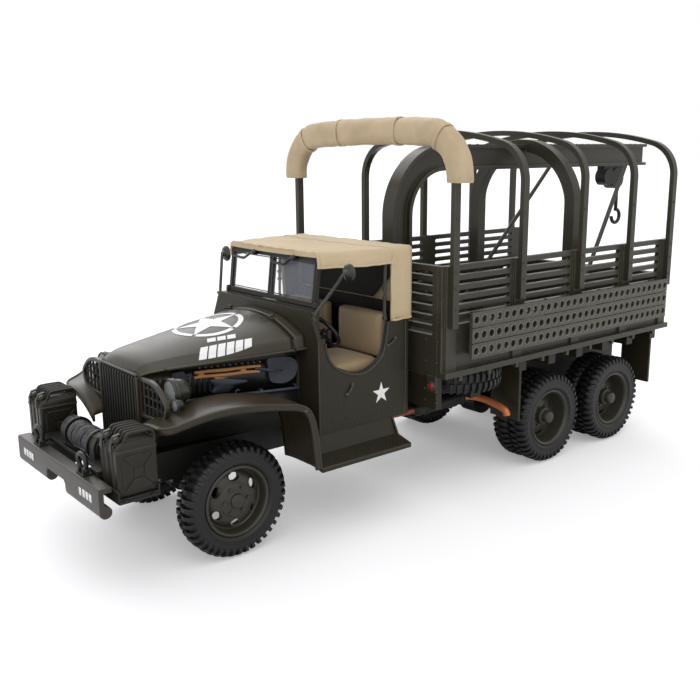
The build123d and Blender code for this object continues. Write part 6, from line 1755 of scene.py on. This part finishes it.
# rims round the holes of the plank panels, bolts on bows, sill and headboard, and hooks under the sill
bedLook = {"holeRadius": 0.78, "holes": 31, "rows": 3, "plankY": 28.0, "plankFront": -51.7, "plankRear": -124.5,
           "plankLow": 31.0, "plankHeight": 3.1, "plankPitch": 3.3,
           "bowX": (-48.0, -69.0, -90.0, -109.5, -127.0), "bowBoltY": 26.7, "bowBoltZ": (41.8, 46.0, 49.4, 60.0),
           "sillBolts": 14, "sillX": (-49.0, -125.5), "sillY": 26.35, "sillZ": 28.0,
           "headX": -45.5, "headY": (23.9, 20.6), "headZ": (22.0, 24.5, 30.5, 35.0, 40.0, 45.0, 49.0),
           "hooks": 9, "hookX": (-50.0, -122.0), "hookBar": 0.22}
smallBolt = [(0.01, 0.22), (0.22, 0.2), (0.32, 0.08), (0.34, -0.3)]
holeRims, bolts, hooks = Shape(), Shape(), Shape()
holeRadius = bedLook["holeRadius"]
holeProfile = [(holeRadius + wider, out) for wider, out in ((-0.02, -0.3), (-0.02, 0.0), (0.1, 0.12), (0.26, 0.04),
                                                           (0.3, -0.15))]
for line in range(bedLook["rows"]):
    z = bedLook["plankLow"] + bedLook["plankHeight"] / 2 + line * bedLook["plankPitch"]
    for index in range(bedLook["holes"]):
        x = between(bedLook["plankFront"], bedLook["plankRear"], (index + 0.5) / bedLook["holes"])
        holeRims.lathe(holeProfile, (x, bedLook["plankY"], z), "y", 12)
for x in bedLook["bowX"]:
    for z in bedLook["bowBoltZ"]:
        bolts.lathe(smallBolt, (x, bedLook["bowBoltY"], z), "y", 8)
for x in spaced(*bedLook["sillX"], bedLook["sillBolts"]):
    bolts.lathe(smallBolt, (x, bedLook["sillY"], bedLook["sillZ"]), "y", 8)
for z in bedLook["headZ"]:
    for y in bedLook["headY"]:
        bolts.lathe([(radius * 0.8, run) for radius, run in smallBolt], (bedLook["headX"], y, z), "x", 8)
for x in spaced(*bedLook["hookX"], bedLook["hooks"]):
    hooks.tube(smoothPath([(x, 25.3, 27.5), (x, 25.4, 26.9), (x, 25.8, 26.5), (x, 26.2, 26.7)], 3),
               bedLook["hookBar"], 8)
    hooks.box((x - 0.45, 25.0, 26.7), (x + 0.45, 25.4, 27.5))
mirrorAll(holeRims, bolts, hooks)
# the hole rims take a lighter paint than the panels, a painted highlight on them
addPiece("plank_hole_rims", holeRims, "plankRimHighlight", sharp=50)
addPiece("bed_bolts", bolts, "oliveRim")
addPiece("rope_hooks", hooks, "oliveBed", bevel=0.08)

exhaustLook = {
    "pipe": 0.7, "pipePath": ((-12.0, 5.4, 18.5), (-12.0, 5.4, 15.4), (-14.5, 6.0, 15.0), (-26.0, 8.6, 16.2),
                              (-40.0, 11.4, 16.9), (-45.0, 12.2, 16.9), (-50.3, 12.4, 16.9)),
    "silencer": (-50.0, 12.4, 16.9), "radius": 1.45, "length": 16.0, "bands": (-53.5, -62.5),
    "tail": 0.8, "tailPath": ((-65.6, 12.4, 16.9), (-67.4, 13.2, 17.0), (-68.9, 16.2, 16.7), (-69.6, 19.6, 15.9),
                              (-69.9, 21.6, 15.2), (-70.0, 22.2, 14.6), (-70.0, 22.4, 13.9)),
}
pipe, silencer, tail = Shape(), Shape(), Shape()
pipe.tube(smoothPath(exhaustLook["pipePath"], 5), exhaustLook["pipe"], 14)
canX, canY, canZ = exhaustLook["silencer"]
size = exhaustLook["radius"]
canEnd = [(0.7, 0.3), (0.75, 0.0), (size - 0.3, -0.35), (size, -0.75), (size + 0.1, -0.95), (size + 0.1, -1.5),
          (size, -1.62)]
silencer.lathe(canEnd + [(radius, -exhaustLook["length"] - run) for radius, run in reversed(canEnd)],
               (canX, canY, canZ), "x", 28)
for x in exhaustLook["bands"]:
    silencer.lathe([(size, -0.45), (size + 0.2, -0.4), (size + 0.2, 0.4), (size, 0.45)], (x, canY, canZ), "x", 28)
    silencer.box((x - 0.35, 9.8, canZ + 0.3), (x + 0.35, canY - 1.0, canZ + 0.8))
tail.tube(smoothPath(exhaustLook["tailPath"], 6), exhaustLook["tail"], 16)
addPiece("exhaust_silencer", silencer, "oliveChassis", stands=("exhaust",), bevel=0.08)
addPiece("exhaust_front_pipe", pipe, "copperPipe")
addPiece("exhaust_tailpipe", tail, "tailCopper")

hoistLook = {"top": 74.55, "flangeY": 1.45, "from": -70.0, "to": -150.0, "rivets": 30, "plateX": (-99.2, -101.2),
             "plateY": 16.9, "plateZ": (32.0, 36.0, 41.0, 46.0, 52.0, 58.0)}
rivets = Shape()
for x in spaced(hoistLook["from"], hoistLook["to"], hoistLook["rivets"]):      # along the beam's top
    rivets.lathe([(0.01, 0.14), (0.14, 0.12), (0.2, 0.04), (0.21, -0.15)], (x, hoistLook["flangeY"], hoistLook["top"]),
                 "z", 8)
rivets.mirrorAcross()
for x in hoistLook["plateX"]:      # on the hoop's foot plates
    for z in hoistLook["plateZ"]:
        for y in (hoistLook["plateY"], -hoistLook["plateY"]):
            rivets.lathe([(0.01, 0.14), (0.16, 0.12), (0.22, 0.04), (0.23, -0.2)], (x, y, z), "y", 8)
addPiece("hoist_rivets", rivets, "oliveBed")

tankLook = {"strapX": (-50.5, -63.0), "strapWidth": 1.1, "strapThick": 0.22, "cap": (-57.0, -18.6, 25.9)}
tankStraps = Shape()
for x in tankLook["strapX"]:
    tankStraps.strip([(x, -11.2, 15.2), (x, -21.8, 15.2), (x, -21.85, 25.75), (x, -11.2, 25.75)],
                     [(0, 0, -1), (0, -0.7, -0.7), (0, -0.7, 0.7), (0, 0, 1)], tankLook["strapWidth"],
                     tankLook["strapThick"])
tankStraps.lathe([(0.01, 0.5), (1.0, 0.5), (1.25, 0.35), (1.3, -0.3)], tankLook["cap"], "z", 20)
addPiece("tank_straps", tankStraps, "oliveBody")
print("bed and hoist trim made")

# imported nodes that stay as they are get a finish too
finishOfSlot = {
    "olive_paint": "oliveBody", "dark_plastic": "oliveChassis", "tyre_rubber": "tyreRubber",
    "steel_pin": "bareSteel", "canvas_tan": "canvasTan", "seat_tan": "seatTan", "clear_screen": "screenGlass",
    "lens_clear": "lampGlass", "copper_paint": "copperPipe",
}
nodesOfFinish = {
    "oliveBed": ("bed_side_left", "bed_side_right", "bed_front", "tailgate", "bed_floor", "bow_1", "bow_2", "bow_3",
                 "bow_4", "bow_5", "hoist_beam", "hoist_hoop", "hoist_braces"),
    "oliveCab": ("bed_underframe", "cab_body", "running_boards"),
    "oliveChassis": ("winch_frame", "display_screw_posts"),
    # the plank panels take the lighter plank paint, partly painted sheen
    "olivePlankAndSheen": ("plank_panels",),
}
finishOfNode = {node: finish for finish, members in nodesOfFinish.items() for node in members}
for name, node in nodes.items():
    wanted = materials[finishOfNode.get(name, finishOfSlot[slotOf[name]])]
    if not node.material_slots:
        node.data.materials.append(wanted)
    for materialSlot in node.material_slots:
        materialSlot.material = wanted
print("carried pieces finished")
